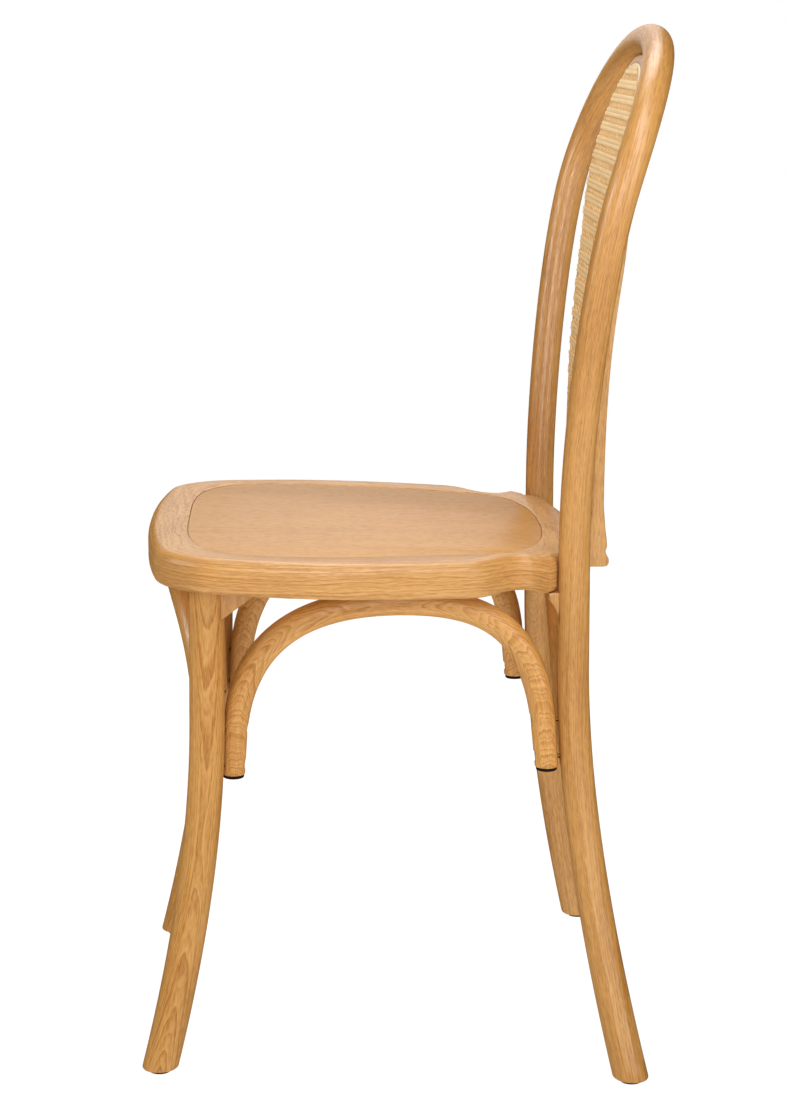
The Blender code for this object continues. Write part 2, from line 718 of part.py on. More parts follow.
spline_low = Vector((CANE_HOOP_X, rail_middle.y, cane_rail_z))
spline_corner = bend(
    spline_low - LEFT * GROOVE_BEND,
    LEFT,
    spline_low + UP * GROOVE_BEND,
    UP,
    5,
)
spline_line = cane_strand(8)[:-1] + cane_crown(13)[1:-1]
spline_half = spline_corner + [point for point in spline_line if point.z > spline_corner[-1].z + GROOVE_WIDTH]
spline_path = spline_half + [mirrored(point) for point in reversed(spline_half)]
spline_facing = [back_normal(point.z) for point in spline_path]
half_groove = GROOVE_WIDTH / 2
spline_ring = box_ring(
    half_groove - CLEARANCE,
    -half_depth - SPLINE_PROUD,
    -half_depth + GROOVE_DEPTH - CLEARANCE,
    SPLINE_EDGE,
)
groove_ring = box_ring(half_groove, -half_depth - GROOVE_DEPTH, -half_depth + GROOVE_DEPTH, SPLINE_EDGE)
count = len(spline_path)
loft("cane_spline", swept(spline_path, [spline_ring] * count, spline_facing, closed=True), CANE, closed=True)
groove_shape = bmesh.new()
add_loft(groove_shape, swept(spline_path, [groove_ring] * count, spline_facing, closed=True), closed=True)

inner_line = swept(spline_half, [[(-half_groove - CLEARANCE, 0)]] * len(spline_half), spline_facing)
sheet_rear = -half_depth - CANE_GAP
sheet_front = sheet_rear - CANE_THICKNESS
sheet_rows = []
for (point,) in inner_line:
    square = back_normal(point.z)
    other = mirrored(point)
    sheet_rows.append(
        [
            point + square * sheet_front,
            point + square * sheet_rear,
            other + square * sheet_rear,
            other + square * sheet_front,
        ]
    )
cane_panel = loft("cane_panel", sheet_rows, CANE)

edge_heights = [point.z for (point,) in inner_line]
edge_reaches = [point.x for (point,) in inner_line]
sheet_low = min(edge_heights)
column_pitch = 2 * max(edge_reaches) / CANE_COLUMNS
row_pitch = (max(edge_heights) - sheet_low) / CANE_ROWS
hole_half_width = column_pitch * (1 - CANE_BAR_SHARE) / 2
hole_half_height = row_pitch * (1 - CANE_BAR_SHARE) / 2
mesh_holes = bmesh.new()
for row in range(CANE_ROWS):
    middle_z = sheet_low + row_pitch * (row + 0.5)
    row_ends = (middle_z - row_pitch / 2, middle_z + row_pitch / 2)
    room = min(np.interp(row_ends, edge_heights, edge_reaches))
    sheet_y = at_height(cane_half, middle_z).y
    for column in range(CANE_COLUMNS):
        middle_x = column_pitch * (column + 0.5 - CANE_COLUMNS / 2)
        if abs(middle_x) + column_pitch / 2 > room + CLEARANCE:
            continue
        hole = [
            (middle_x + across * hole_half_width, middle_z + rise * hole_half_height)
            for across, rise in ((-1, -1), (1, -1), (1, 1), (-1, 1))
        ]
        hole_ends = (sheet_y - CANE_HOOP_DEPTH * 2, sheet_y + CANE_HOOP_DEPTH)
        add_loft(mesh_holes, [[Vector((x, y, z)) for x, z in hole] for y in hole_ends])

for side_name, outwards in (("left", 1), ("right", -1)):
    foot_back = cane_foot_y + CANE_FOOT_REACH - SCREW_SINK
    foot_start = Vector((outwards * CANE_HOOP_X, foot_back, cane_foot_z + CANE_FOOT_HEIGHT / 2))
    screw(
        f"cane_foot_screw_{side_name}",
        foot_start,
        -REAR,
        foot_back - rear_edge(CANE_HOOP_X) + SCREW_BITE,
    )
    top_start = cane_top + Vector((outwards * TOP_SCREW_X, 0, 0)) + back_normal(cane_top.z) * behind_groove
    screw(
        f"cane_top_screw_{side_name}",
        top_start - up_the_back * (half_width - SCREW_SINK),
        up_the_back,
        CANE_HOOP_WIDTH - SCREW_SINK + SCREW_BITE,
    )

# Bolts through the rear legs into the corners of the seat, and glides under the feet
bolt_z = seat_top(WAIST_Y) - SEAT_THICKNESS / 2
for side_name, outwards in (("left", 1), ("right", -1)):
    axis = Vector((-outwards * math.sin(BOLT_TURN), -math.cos(BOLT_TURN), 0))
    bolt_start = Vector((outwards * WAIST_X, WAIST_Y, bolt_z)) - axis * (HOOP_RADIUS - BOLT_HEAD_HEIGHT)
    bolt_length = 2 * HOOP_RADIUS - BOLT_HEAD_HEIGHT + BOLT_BITE
    bolt = headed_profile(BOLT_HEAD_RADIUS, BOLT_HEAD_HEIGHT, BOLT_RADIUS, bolt_length)
    fastener(f"rear_leg_bolt_{side_name}", bolt, bolt_start, axis, STEEL, open_by=BOLT_HEAD_HEIGHT)
    for end_name, foot in (("front", front_foot), ("rear", rear_foot)):
        glide = [
            (0, GLIDE_RADIUS - GLIDE_CHAMFER),
            (GLIDE_CHAMFER, GLIDE_RADIUS),
            (GLIDE_HEIGHT - CLEARANCE, GLIDE_RADIUS),
            (GLIDE_HEIGHT - CLEARANCE, GLIDE_PIN_RADIUS),
            (GLIDE_HEIGHT + GLIDE_PIN_LENGTH, GLIDE_PIN_RADIUS),
        ]
        floor_point = Vector((outwards * foot.x, foot.y, 0))
        loft(f"foot_glide_{end_name}_{side_name}", turned_loops(glide, floor_point, UP), BLACK_PLASTIC)
        pin_radius = GLIDE_PIN_RADIUS + CLEARANCE
        pin_hole = [(0, pin_radius), (GLIDE_HEIGHT + GLIDE_PIN_LENGTH + CLEARANCE, pin_radius)]
        add_loft(holes, turned_loops(pin_hole, floor_point, UP))


# Corner blocks: a wedge behind each front leg and a small corbel in front of each rear leg
def block(name, profile, x, width):
    """A solid with this outline of (y, z) points, this wide, centred on x."""
    loops = [[Vector((x + shift, y, z)) for y, z in profile] for shift in (-width / 2, width / 2)]
    return loft(name, loops, FRAME_WOOD)


wedge_y = front_leg_y + FRONT_LEG_TOP_RADIUS + CLEARANCE * 2
wedge_end_y = wedge_y + FRONT_BLOCK_LENGTH
wedge = [
    (wedge_y, seat_bottom(wedge_y) - CLEARANCE),
    (wedge_y, seat_bottom(wedge_y) - FRONT_BLOCK_HEIGHT),
    (wedge_end_y, seat_bottom(wedge_end_y) - FRONT_BLOCK_TIP),
    (wedge_end_y, seat_bottom(wedge_end_y) - CLEARANCE),
]
corbel_y = WAIST_Y - HOOP_RADIUS - CLEARANCE * 2
corbel_front_y = corbel_y - REAR_BLOCK_DEPTH
corbel_top = seat_bottom(corbel_y) - CLEARANCE
corbel_low = corbel_top - REAR_BLOCK_HEIGHT
corbel_hollow = bend(
    (corbel_front_y, corbel_top - REAR_BLOCK_LIP),
    (1, -1),
    (corbel_y - REAR_BLOCK_TIP, corbel_low),
    (0.14, -1),
    6,
)
corbel = [(corbel_y, corbel_top), (corbel_front_y, corbel_top), *corbel_hollow, (corbel_y, corbel_low)]
for side_name, outwards in (("left", 1), ("right", -1)):
    block(f"front_block_{side_name}", wedge, outwards * front_leg_x, FRONT_BLOCK_WIDTH)
    block(f"rear_block_{side_name}", corbel, outwards * WAIST_X, REAR_BLOCK_WIDTH)


# Cuts
def cutter(name, shape):
    made = solid(name, shape, STEEL)
    made.hide_render = True
    made.display_type = "WIRE"
    return made


def cut(piece, tool):
    difference = piece.modifiers.new(tool.name, "BOOLEAN")
    difference.operation = "DIFFERENCE"
    difference.solver = "EXACT"
    difference.object = tool


fastener_holes = cutter("fastener_holes", holes)
tenon_sockets = cutter("tenon_sockets", sockets)
cane_groove = cutter("cane_groove", groove_shape)
cane_mesh = cutter("cane_mesh", mesh_holes)
cut(seat_frame, tenon_sockets)
cut(cane_panel, cane_mesh)
for piece in (cane_hoop, cane_rail):
    cut(piece, cane_groove)
for piece in (back_hoop, *front_legs, seat_frame, *arches, cane_hoop, cane_rail):
    cut(piece, fastener_holes)
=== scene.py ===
"""The looks of a bentwood dining chair with a caned back, built round its fixed frame.

Metres, +Z up. The chair faces -Y, and the camera stands on its left, at +X.
"""

import math

import bmesh
import bpy
import numpy as np
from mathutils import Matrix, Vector
from mathutils.geometry import interpolate_bezier


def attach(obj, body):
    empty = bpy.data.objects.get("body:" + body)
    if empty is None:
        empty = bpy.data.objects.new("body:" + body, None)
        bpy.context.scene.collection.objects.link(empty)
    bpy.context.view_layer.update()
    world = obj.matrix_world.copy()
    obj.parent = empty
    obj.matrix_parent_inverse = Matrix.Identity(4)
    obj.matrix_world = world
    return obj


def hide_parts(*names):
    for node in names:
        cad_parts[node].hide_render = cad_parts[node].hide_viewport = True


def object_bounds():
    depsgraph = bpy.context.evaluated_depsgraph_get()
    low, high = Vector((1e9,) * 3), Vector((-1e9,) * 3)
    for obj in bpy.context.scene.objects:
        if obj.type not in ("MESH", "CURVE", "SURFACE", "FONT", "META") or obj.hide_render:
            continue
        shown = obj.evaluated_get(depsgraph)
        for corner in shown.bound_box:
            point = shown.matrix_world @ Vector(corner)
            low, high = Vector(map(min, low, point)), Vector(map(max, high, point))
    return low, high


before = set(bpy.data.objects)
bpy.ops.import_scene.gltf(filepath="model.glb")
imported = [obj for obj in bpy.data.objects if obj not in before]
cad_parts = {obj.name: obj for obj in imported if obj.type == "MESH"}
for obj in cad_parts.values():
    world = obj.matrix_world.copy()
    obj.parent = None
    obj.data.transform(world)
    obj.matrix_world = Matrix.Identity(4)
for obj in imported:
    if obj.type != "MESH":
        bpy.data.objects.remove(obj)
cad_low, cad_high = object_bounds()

# Back hoop: one round rod of open-grained hardwood, steamed and bent, that makes both rear legs and the
# outer frame of the back. It is turned a little thicker towards the feet, sanded and lacquered satin.
UP = Vector((0, 0, 1))
REAR = Vector((0, 1, 0))
LEFT = Vector((1, 0, 0))
HOOP_RADIUS = 0.0135
REAR_FOOT_RADIUS = 0.0152
REAR_SPLAY_X = 0.0590
REAR_SPLAY_Y = 0.0488
REAR_KNEE_Z = 0.210
WAIST_X = 0.1635
WAIST_Y = 0.1417
WAIST_LOW_Z = 0.360
WAIST_HIGH_Z = 0.4597
SHOULDER = Vector((0.1900, 0.1752, 0.7635))
SHOULDER_WAY = Vector((0, 0.289, 1))
HOOP_TOP_Y = 0.2209
GLIDE_HEIGHT = 0.003
FOOT_EDGE = 0.0025
ROD_SIDES = 36
SHARP_EDGE = math.radians(40)
RING_WIDTH = 0.0022
PALE_WOOD = (0.580, 0.300, 0.086)
WARM_WOOD = (0.376, 0.152, 0.026)
DARK_WOOD = (0.205, 0.070, 0.011)


class Shade:
    """A value in a material, so that shader maths can be written as sums."""

    def __init__(self, tree, socket=None):
        self.tree = tree
        self.socket = socket

    def node(self, kind, settings, sockets, output=0):
        """One output of a new node, with these settings and inputs."""
        made = self.tree.nodes.new("ShaderNode" + kind)
        for name, value in settings.items():
            setattr(made, name, value)
        for name, value in sockets.items():
            if isinstance(value, Shade):
                self.tree.links.new(value.socket, made.inputs[name])
            else:
                made.inputs[name].default_value = value
        return Shade(self.tree, made.outputs[output])

    def maths(self, operation, first, second=0.0):
        return self.node("Math", {"operation": operation}, {0: first, 1: second})

    def __add__(self, other):
        return self.maths("ADD", self, other)

    def __sub__(self, other):
        return self.maths("SUBTRACT", self, other)

    def __mul__(self, other):
        return self.maths("MULTIPLY", self, other)

    def noise(self, scale, detail=2.0):
        """Noise over this vector, with features that are 1 / scale long in each direction."""
        stretched = self.node("VectorMath", {"operation": "MULTIPLY"}, {0: self, 1: scale})
        return self.node("TexNoise", {}, {"Vector": stretched, "Scale": 1.0, "Detail": detail})

    def line_noise(self, place):
        """Noise along a line."""
        return self.node("TexNoise", {"noise_dimensions": "1D"}, {"W": place, "Scale": 1.0, "Detail": 1.0})

    def between(self, low, high):
        """0 below low, 1 above high, smooth in between."""
        limits = {"Value": self, "From Min": low, "From Max": high}
        return self.node("MapRange", {"interpolation_type": "SMOOTHSTEP"}, limits)

    def mixed(self, first, second):
        """From the first colour at 0 to the second at 1."""
        colours = [c if isinstance(c, Shade) else (*c, 1.0) for c in (first, second)]
        return self.node("Mix", {"data_type": "RGBA"}, {0: self, 6: colours[0], 7: colours[1]}, 2)

    def into(self, name):
        """Plugs the value into an input of the material's surface shader."""
        self.tree.links.new(self.socket, self.tree.nodes["Principled BSDF"].inputs[name])


def blank_material(name):
    material = bpy.data.materials.new(name)
    material.use_nodes = True
    return material, material.node_tree.nodes["Principled BSDF"]


def wood(
    name, pale, warm, ring_width=RING_WIDTH, figure=1.0, contrast=1.0, open_pores=1.0, gloss=0.5
):
    """Lacquered wood. Rings, pores and fibres follow the grain that each piece carries on its points:
    two places across the unbent wood and one along it, and how far the rings have run out. Where points
    carry a stain, the wood is darker. Figure is how far the rings wander, contrast how strongly they
    show, open_pores how dark the pores are, and gloss how much light the lacquer throws back."""
    material, shader = blank_material(name)
    shade = Shade(material.node_tree)
    grain = shade.node("Attribute", {"attribute_name": "grain"}, {}, "Vector")
    runout = shade.node("Attribute", {"attribute_name": "runout"}, {}, "Fac")
    across = shade.node("SeparateXYZ", {}, {0: grain}, "X")
    wander = grain.noise((55, 55, 9), 2) - 0.5
    sweep = grain.noise((14, 14, 3), 1) - 0.5
    curl = grain.noise((110, 110, 38), 1) - 0.5
    ring = (across + runout) * (1 / ring_width) + wander * (2.6 * figure) + sweep * (6.0 * figure)
    ring += curl * (0.6 * figure)
    ring += shade.line_noise(ring * 0.55) * 1.4
    year = shade.maths("FRACT", ring)
    vigour = shade.line_noise(ring * 0.9).between(0.3, 0.7) * 0.7 + 0.3
    early = (year.between(0.0, 0.12) - year.between(0.18, 0.62)) * vigour
    late = year.between(0.66, 1.0) * vigour
    fibre = grain.noise((850, 850, 110), 3) - 0.5
    streak = grain.noise((260, 260, 9), 2) - 0.5
    drift = grain.noise((24, 24, 8), 2) - 0.5
    pores = grain.noise((1100, 1100, 120), 1).between(0.54, 0.68)
    flecks = grain.noise((900, 900, 110), 1).between(0.56, 0.70)
    tone = early * (0.80 * contrast) - late * (0.45 * contrast) + fibre * 1.5 + streak * 1.0 + drift * 0.9
    colour = (tone + 0.40).between(-0.1, 1.1).mixed(pale, warm)
    colour = (pores * (early * 0.45 + 0.22) * open_pores).mixed(colour, DARK_WOOD)
    colour = (flecks * 0.45).mixed(colour, pale)
    stain = shade.node("Attribute", {"attribute_name": "stain"}, {}, "Fac")
    colour = (stain * (drift * 1.5 + 1.0)).mixed(colour, DARK_WOOD)
    colour.into("Base Color")
    (fibre * 0.3 + pores * 0.10 + 0.36).into("Roughness")
    height = fibre * 0.5 - pores * 0.8 - early * 0.25
    bump = {"Height": height, "Strength": 0.12, "Distance": 0.0004}
    shade.node("Bump", {}, bump).into("Normal")
    shader.inputs["Specular IOR Level"].default_value = gloss
    return material


def joined(*runs):
    """The runs end to end, each leaving out its first point where the run before ends."""
    points = list(runs[0])
    for run in runs[1:]:
        points += run[1:]
    return points


def bend(start, start_way, end, end_way, steps, hold=0.36, end_hold=0.36):
    """A curve that leaves the start one way and comes into the end another, holding each way over that
    share of the distance between them."""
    start = Vector(start)
    end = Vector(end)
    distance = (end - start).length
    first_handle = start + Vector(start_way).normalized() * (hold * distance)
    second_handle = end - Vector(end_way).normalized() * (end_hold * distance)
    return interpolate_bezier(start, first_handle, second_handle, end, steps)


def sweep_out(top, knee_z, foot, steps):
    """A leg's bent lower part: upright at the top, then sweeping out to the foot."""
    knee = Vector((top.x, top.y, knee_z))
    return interpolate_bezier(top, top.lerp(knee, 2 / 3), foot.lerp(knee, 2 / 3), foot, steps)


def straight(start, end, steps):
    return [start.lerp(end, share) for share in np.linspace(0, 1, steps)]


def mirrored(point):
    return Vector((-point.x, point.y, point.z))


def both_sides(path):
    """A path that ends at x = 0, carried on along its mirror image."""
    return path + [mirrored(point) for point in reversed(path[:-1])]


def round_ring(radius):
    turns = [2 * math.pi * k / ROD_SIDES for k in range(ROD_SIDES)]
    return [(radius * math.cos(turn), radius * math.sin(turn)) for turn in turns]


def swept(path, rings, facing, planes=None):
    """Loops of points along a path. Each ring's points are (side, face) offsets, where face is the part
    of the facing square to the path. A station listed in planes is slid onto that plane."""
    loops = []
    for k, (point, ring) in enumerate(zip(path, rings)):
        along = (path[min(k + 1, len(path) - 1)] - path[max(k - 1, 0)]).normalized()
        towards = facing[k] if isinstance(facing, list) else facing
        side = towards.cross(along).normalized()
        face = along.cross(side)
        loop = [point + side * across + face * through for across, through in ring]
        if planes and k in planes:
            origin, normal = planes[k]
            loop = [p + along * ((origin - p).dot(normal) / along.dot(normal)) for p in loop]
        loops.append(loop)
    return loops


def distances(path):
    """How far along the path each of its points is."""
    return [0.0, *np.cumsum([(b - a).length for a, b in zip(path, path[1:])])]


def skin(shape, loops, rings, lengths, turn=0.0, seed=0.0, runout=0.0):
    """A closed skin over the loops, made by extruding the first one from each loop to the next. Turn rolls
    the growth rings about the length, seed picks another stretch of wood, and runout is how steeply the
    rings cross the length at its ends, less towards its middle."""
    grain = shape.verts.layers.float_vector.get("grain") or shape.verts.layers.float_vector.new("grain")
    slope = shape.verts.layers.float.get("runout") or shape.verts.layers.float.new("runout")
    middle = lengths[-1] / 2
    verts = bmesh.ops.create_circle(shape, segments=len(loops[0]), radius=1.0)["verts"]
    ends = []
    for k, (loop, ring, length) in enumerate(zip(loops, rings, lengths)):
        edges = [shape.edges.get((a, b)) for a, b in zip(verts, verts[1:] + verts[:1])]
        if k == 0:
            ends.append(edges)
        else:
            made = set(bmesh.ops.extrude_edge_only(shape, edges=edges)["geom"])
            verts = [
                next(edge.other_vert(vert) for edge in vert.link_edges if edge.other_vert(vert) in made)
                for vert in verts
            ]
        for vert, point, (across, through) in zip(verts, loop, ring):
            vert.co = point
            rolled = across * math.cos(turn) + through * math.sin(turn)
            square = through * math.cos(turn) - across * math.sin(turn)
            vert[grain] = (rolled, square, length + seed)
            vert[slope] = runout * (length - middle) ** 2 / (2 * middle) if runout else 0.0
    ends.append([shape.edges.get((a, b)) for a, b in zip(verts, verts[1:] + verts[:1])])
    for edges in ends:
        bmesh.ops.contextual_create(shape, geom=edges)
    return ends


def round_off(shape, edges, radius, segments=3):
    bmesh.ops.bevel(
        shape, geom=edges, offset=radius, segments=segments, affect="EDGES", profile=0.5, material=-1
    )


def finished(name, shape, material, nodes):
    """Turns the shape into a piece of the chair that stands for these nodes."""
    bmesh.ops.recalc_face_normals(shape, faces=shape.faces)
    mesh = bpy.data.meshes.new(name)
    shape.to_mesh(mesh)
    shape.free()
    mesh.shade_smooth()
    mesh.set_sharp_from_angle(angle=SHARP_EDGE)
    mesh.materials.append(material)
    piece = bpy.data.objects.new(name, mesh)
    bpy.context.collection.objects.link(piece)
    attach(piece, "root")
    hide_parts(*nodes)
    return piece


def hoop_radius(z):
    """The rod thickens from the seat down to the foot."""
    return HOOP_RADIUS + (REAR_FOOT_RADIUS - HOOP_RADIUS) * max(0, 1 - z / WAIST_HIGH_Z)


bent_wood = wood(
    "bent_wood", PALE_WOOD, WARM_WOOD, figure=0.6, contrast=0.40, open_pores=0.7, gloss=0.8
)
waist_low = Vector((WAIST_X, WAIST_Y, WAIST_LOW_Z))
waist_high = Vector((WAIST_X, WAIST_Y, WAIST_HIGH_Z))
rear_foot = Vector((WAIST_X + REAR_SPLAY_X, WAIST_Y + REAR_SPLAY_Y, GLIDE_HEIGHT))
hoop_top = Vector((0, HOOP_TOP_Y, cad_high.z - HOOP_RADIUS))
hoop_half = joined(
    sweep_out(waist_low, REAR_KNEE_Z, rear_foot, 50)[::-1],
    straight(waist_low, waist_high, 12),
    bend(waist_high, UP, SHOULDER, SHOULDER_WAY, 40, hold=0.337, end_hold=0.206),
    bend(SHOULDER, SHOULDER_WAY, hoop_top, -LEFT, 50, hold=0.288, end_hold=0.592),
)
hoop_path = both_sides(hoop_half)
hoop_rings = [round_ring(hoop_radius(point.z)) for point in hoop_path]
foot_level = (UP * GLIDE_HEIGHT, UP)
hoop_planes = {0: foot_level, len(hoop_path) - 1: foot_level}
shape = bmesh.new()
hoop_loops = swept(hoop_path, hoop_rings, REAR, hoop_planes)
for edges in skin(shape, hoop_loops, hoop_rings, distances(hoop_path), turn=1.1, seed=3.0, runout=0.04):
    round_off(shape, edges, FOOT_EDGE)
finished("back_hoop_bent", shape, bent_wood, ["back_hoop"])

# Seat frame: two lengths of the same wood, bent and joined at the front and the rear, moulded to a round
# outer edge. A rebate takes the panel, and a notch at each rear corner fits round a rear leg. The wood has
# taken up more stain where it is bent hardest, at the front corners.
SEAT_HEIGHT = 0.4555
SEAT_FALL = 0.027
SEAT_THICKNESS = 0.031
SEAT_TOP_ROUND = 0.0095
SEAT_BOTTOM_ROUND = 0.006
SEAT_FRONT_Y = -0.2290
SEAT_REAR_BOW = 0.0178
SEAT_HALF_WIDTH = 0.2185
SEAT_WIDEST_Y = -0.070
CORNER_ALONG_FRONT = 0.068
CORNER_ALONG_SIDE = 0.072
CORNER_DRAW_IN = 0.0105
SWAY_IN = 0.0160
SWAY_AHEAD = 0.0500
NECK_IN = 0.0015
NECK_FRONT = 0.0405
EAR_OUT = 0.0105
EAR_FRONT = 0.0220
NOTCH_RADIUS = 0.0141
RIM_FRONT = 0.0360
RIM_SIDE = 0.0320
RIM_REAR = 0.0330
LEDGE = 0.042
REBATE_DEPTH = 0.0063
LINE_EDGE = 0.0007
PANEL_WIDEST_AHEAD = 0.030
PANEL_HAUNCH_IN = 0.033
PANEL_HAUNCH_AHEAD = 0.052
STAIN_PLACE = Vector((0.190, -0.205))
STAIN_REACH = 0.036
STAIN_BELOW_TOP = 0.006
STAIN_STRENGTH = 0.34
PALE_RIM = (0.622, 0.338, 0.114)
WARM_RIM = (0.408, 0.176, 0.039)
seat_rear_y = WAIST_Y + SEAT_REAR_BOW
seat_middle = Vector((0, (SEAT_FRONT_Y + seat_rear_y) / 2))


def seat_top(y):
    return SEAT_HEIGHT - SEAT_FALL * y


def seat_bottom(y):
    return seat_top(y) - SEAT_THICKNESS


def rear_edge(x):
    """The seat's rear edge, a shallow bow between the two rear legs."""
    return seat_rear_y - SEAT_REAR_BOW * (x / (WAIST_X - NOTCH_RADIUS)) ** 2


def angles(first, last, count):
    """Evenly spaced angles, given in degrees."""
    return [math.radians(angle) for angle in np.linspace(first, last, count)]


def seat_half_outline():
    """From the middle of the front edge round the left side to the middle of the rear edge."""
    front_middle = Vector((0, SEAT_FRONT_Y))
    front_end = Vector((SEAT_HALF_WIDTH - CORNER_ALONG_FRONT, SEAT_FRONT_Y + CORNER_DRAW_IN))
    side_start = Vector((SEAT_HALF_WIDTH - CORNER_DRAW_IN, SEAT_FRONT_Y + CORNER_ALONG_SIDE))
    widest = Vector((SEAT_HALF_WIDTH, SEAT_WIDEST_Y))
    neck = Vector((WAIST_X - NECK_IN, WAIST_Y - NECK_FRONT))
    sway = Vector((SEAT_HALF_WIDTH - SWAY_IN, neck.y - SWAY_AHEAD))
    ear = Vector((WAIST_X + EAR_OUT, WAIST_Y - EAR_FRONT))
    into_corner = (1, 0.15)
    out_of_corner = (0.185, 1)
    towards_neck = (-0.235, 1)
    past_neck = (-0.13, 1)
    notch = [
        Vector((WAIST_X - NOTCH_RADIUS * math.sin(turn), WAIST_Y - NOTCH_RADIUS * math.cos(turn)))
        for turn in angles(0, 90, 12)
    ]
    return joined(
        bend(front_middle, (1, 0), front_end, into_corner, 20),
        bend(front_end, into_corner, side_start, out_of_corner, 28),
        bend(side_start, out_of_corner, widest, (0, 1), 16),
        bend(widest, (0, 1), sway, towards_neck, 20),
        bend(sway, towards_neck, neck, past_neck, 16),
        bend(neck, past_neck, ear, (1, 0.9), 10),
        straight(ear, notch[0], 5),
        notch,
        [Vector((x, rear_edge(x))) for x in np.linspace(notch[-1].x, 0, 24)],
    )


def panel_half_outline():
    """The line between rim and panel, in the same order."""
    half_width = SEAT_HALF_WIDTH - RIM_SIDE
    front_middle = Vector((0, SEAT_FRONT_Y + RIM_FRONT))
    rear_middle = Vector((0, seat_rear_y - RIM_REAR))
    side = Vector((half_width, SEAT_WIDEST_Y - PANEL_WIDEST_AHEAD))
    haunch = Vector((half_width - PANEL_HAUNCH_IN, rear_middle.y - PANEL_HAUNCH_AHEAD))
    haunch_way = (-0.27, 1)
    return joined(
        bend(front_middle, (1, 0), side, (0, 1), 60, hold=0.53, end_hold=0.46),
        bend(side, (0, 1), haunch, haunch_way, 40),
        bend(haunch, haunch_way, rear_middle, (-1, 0), 60, hold=0.24, end_hold=0.525),
    )


def polar(points):
    """Angles from the front, and distances from the middle of the seat."""
    offsets = [point - seat_middle for point in points]
    return [math.atan2(abs(o.x), -o.y) for o in offsets], [o.length for o in offsets]


def seat_point(angle, reach, depth):
    """A point of the tilted seat, this far below its top."""
    x = reach * math.sin(angle)
    y = seat_middle.y - reach * math.cos(angle)
    return Vector((x, y, seat_top(y) - depth))


def rim_section(outer, panel):
    """The rim's section as (reach, depth): moulded edge, ledge, rebate and the line beside the panel."""
    top = [
        (outer - SEAT_TOP_ROUND * (1 - math.cos(turn)), SEAT_TOP_ROUND * (1 - math.sin(turn)))
        for turn in angles(90, 0, 8)
    ]
    low_centre = SEAT_THICKNESS - SEAT_BOTTOM_ROUND
    low = [
        (outer - SEAT_BOTTOM_ROUND * (1 - math.cos(turn)), low_centre + SEAT_BOTTOM_ROUND * math.sin(turn))
        for turn in angles(0, 90, 6)
    ]
    return [
        (panel, LINE_EDGE),
        (panel + LINE_EDGE / 4, LINE_EDGE / 4),
        (panel + LINE_EDGE, 0),
        *top,
        *low,
        (panel - LEDGE, SEAT_THICKNESS),
        (panel - LEDGE, REBATE_DEPTH),
        (panel, REBATE_DEPTH),
    ]


rim_wood = wood(
    "rim_wood", PALE_RIM, WARM_RIM, ring_width=0.0032, figure=1.2, contrast=0.6, open_pores=0.4
)
outline = seat_half_outline()
outline_angles, outline_reach = polar(outline)
panel_reach = np.interp(outline_angles, *polar(panel_half_outline()))
sections = [rim_section(outer, panel) for outer, panel in zip(outline_reach, panel_reach)]
rim_grain = [[(depth, reach - outer) for reach, depth in s] for s, outer in zip(sections, outline_reach)]
shape = bmesh.new()
for flip, seed in ((1, 11.0), (-1, 23.0)):
    loops = [
        [seat_point(flip * angle, reach, depth) for reach, depth in section]
        for angle, section in zip(outline_angles, sections)
    ]
    skin(shape, loops, rim_grain, distances(outline), turn=0.35, seed=seed)
stain = shape.verts.layers.float.new("stain")
for vert in shape.verts:
    from_corner = (Vector((abs(vert.co.x), vert.co.y)) - STAIN_PLACE).length
    near_corner = max(0, 1 - (from_corner / STAIN_REACH) ** 2)
    below_top = min(1, (seat_top(vert.co.y) - vert.co.z) / STAIN_BELOW_TOP)
    vert[stain] = STAIN_STRENGTH * near_corner * below_top
finished("seat_rim", shape, rim_wood, ["seat_frame"])

# Seat panel: a thin board with straight grain from front to rear, let into the rim and flush with it.
# Its edge is eased, so a fine line shows all round between panel and rim.
PANEL_SINK = 0.0005
PANEL_THICKNESS = 0.0055
PANEL_GAP = 0.0003
PALE_PANEL = (0.575, 0.290, 0.074)
WARM_PANEL = (0.467, 0.207, 0.042)
panel_wood = wood(
    "panel_wood", PALE_PANEL, WARM_PANEL, ring_width=0.0040, figure=0.4, contrast=0.5
)
panel_angles = outline_angles + [-angle for angle in reversed(outline_angles[1:-1])]
panel_edge = [*panel_reach, *panel_reach[-2:0:-1]]
levels = [
    (PANEL_GAP, PANEL_SINK + PANEL_THICKNESS),
    (PANEL_GAP, PANEL_SINK + LINE_EDGE),
    (PANEL_GAP + LINE_EDGE / 4, PANEL_SINK + LINE_EDGE / 4),
    (PANEL_GAP + LINE_EDGE, PANEL_SINK),
]
loops = [
    [seat_point(angle, reach - inset, depth) for angle, reach in zip(panel_angles, panel_edge)]
    for inset, depth in levels
]
shape = bmesh.new()
skin(shape, loops, [[(0, 0)] * len(panel_edge)] * len(levels), [0.0] * len(levels))
grain = shape.verts.layers.float_vector["grain"]
for vert in shape.verts:
    vert[grain] = (vert.co.x, vert.co.z, vert.co.y)
finished("seat_board", shape, panel_wood, ["seat_panel"])

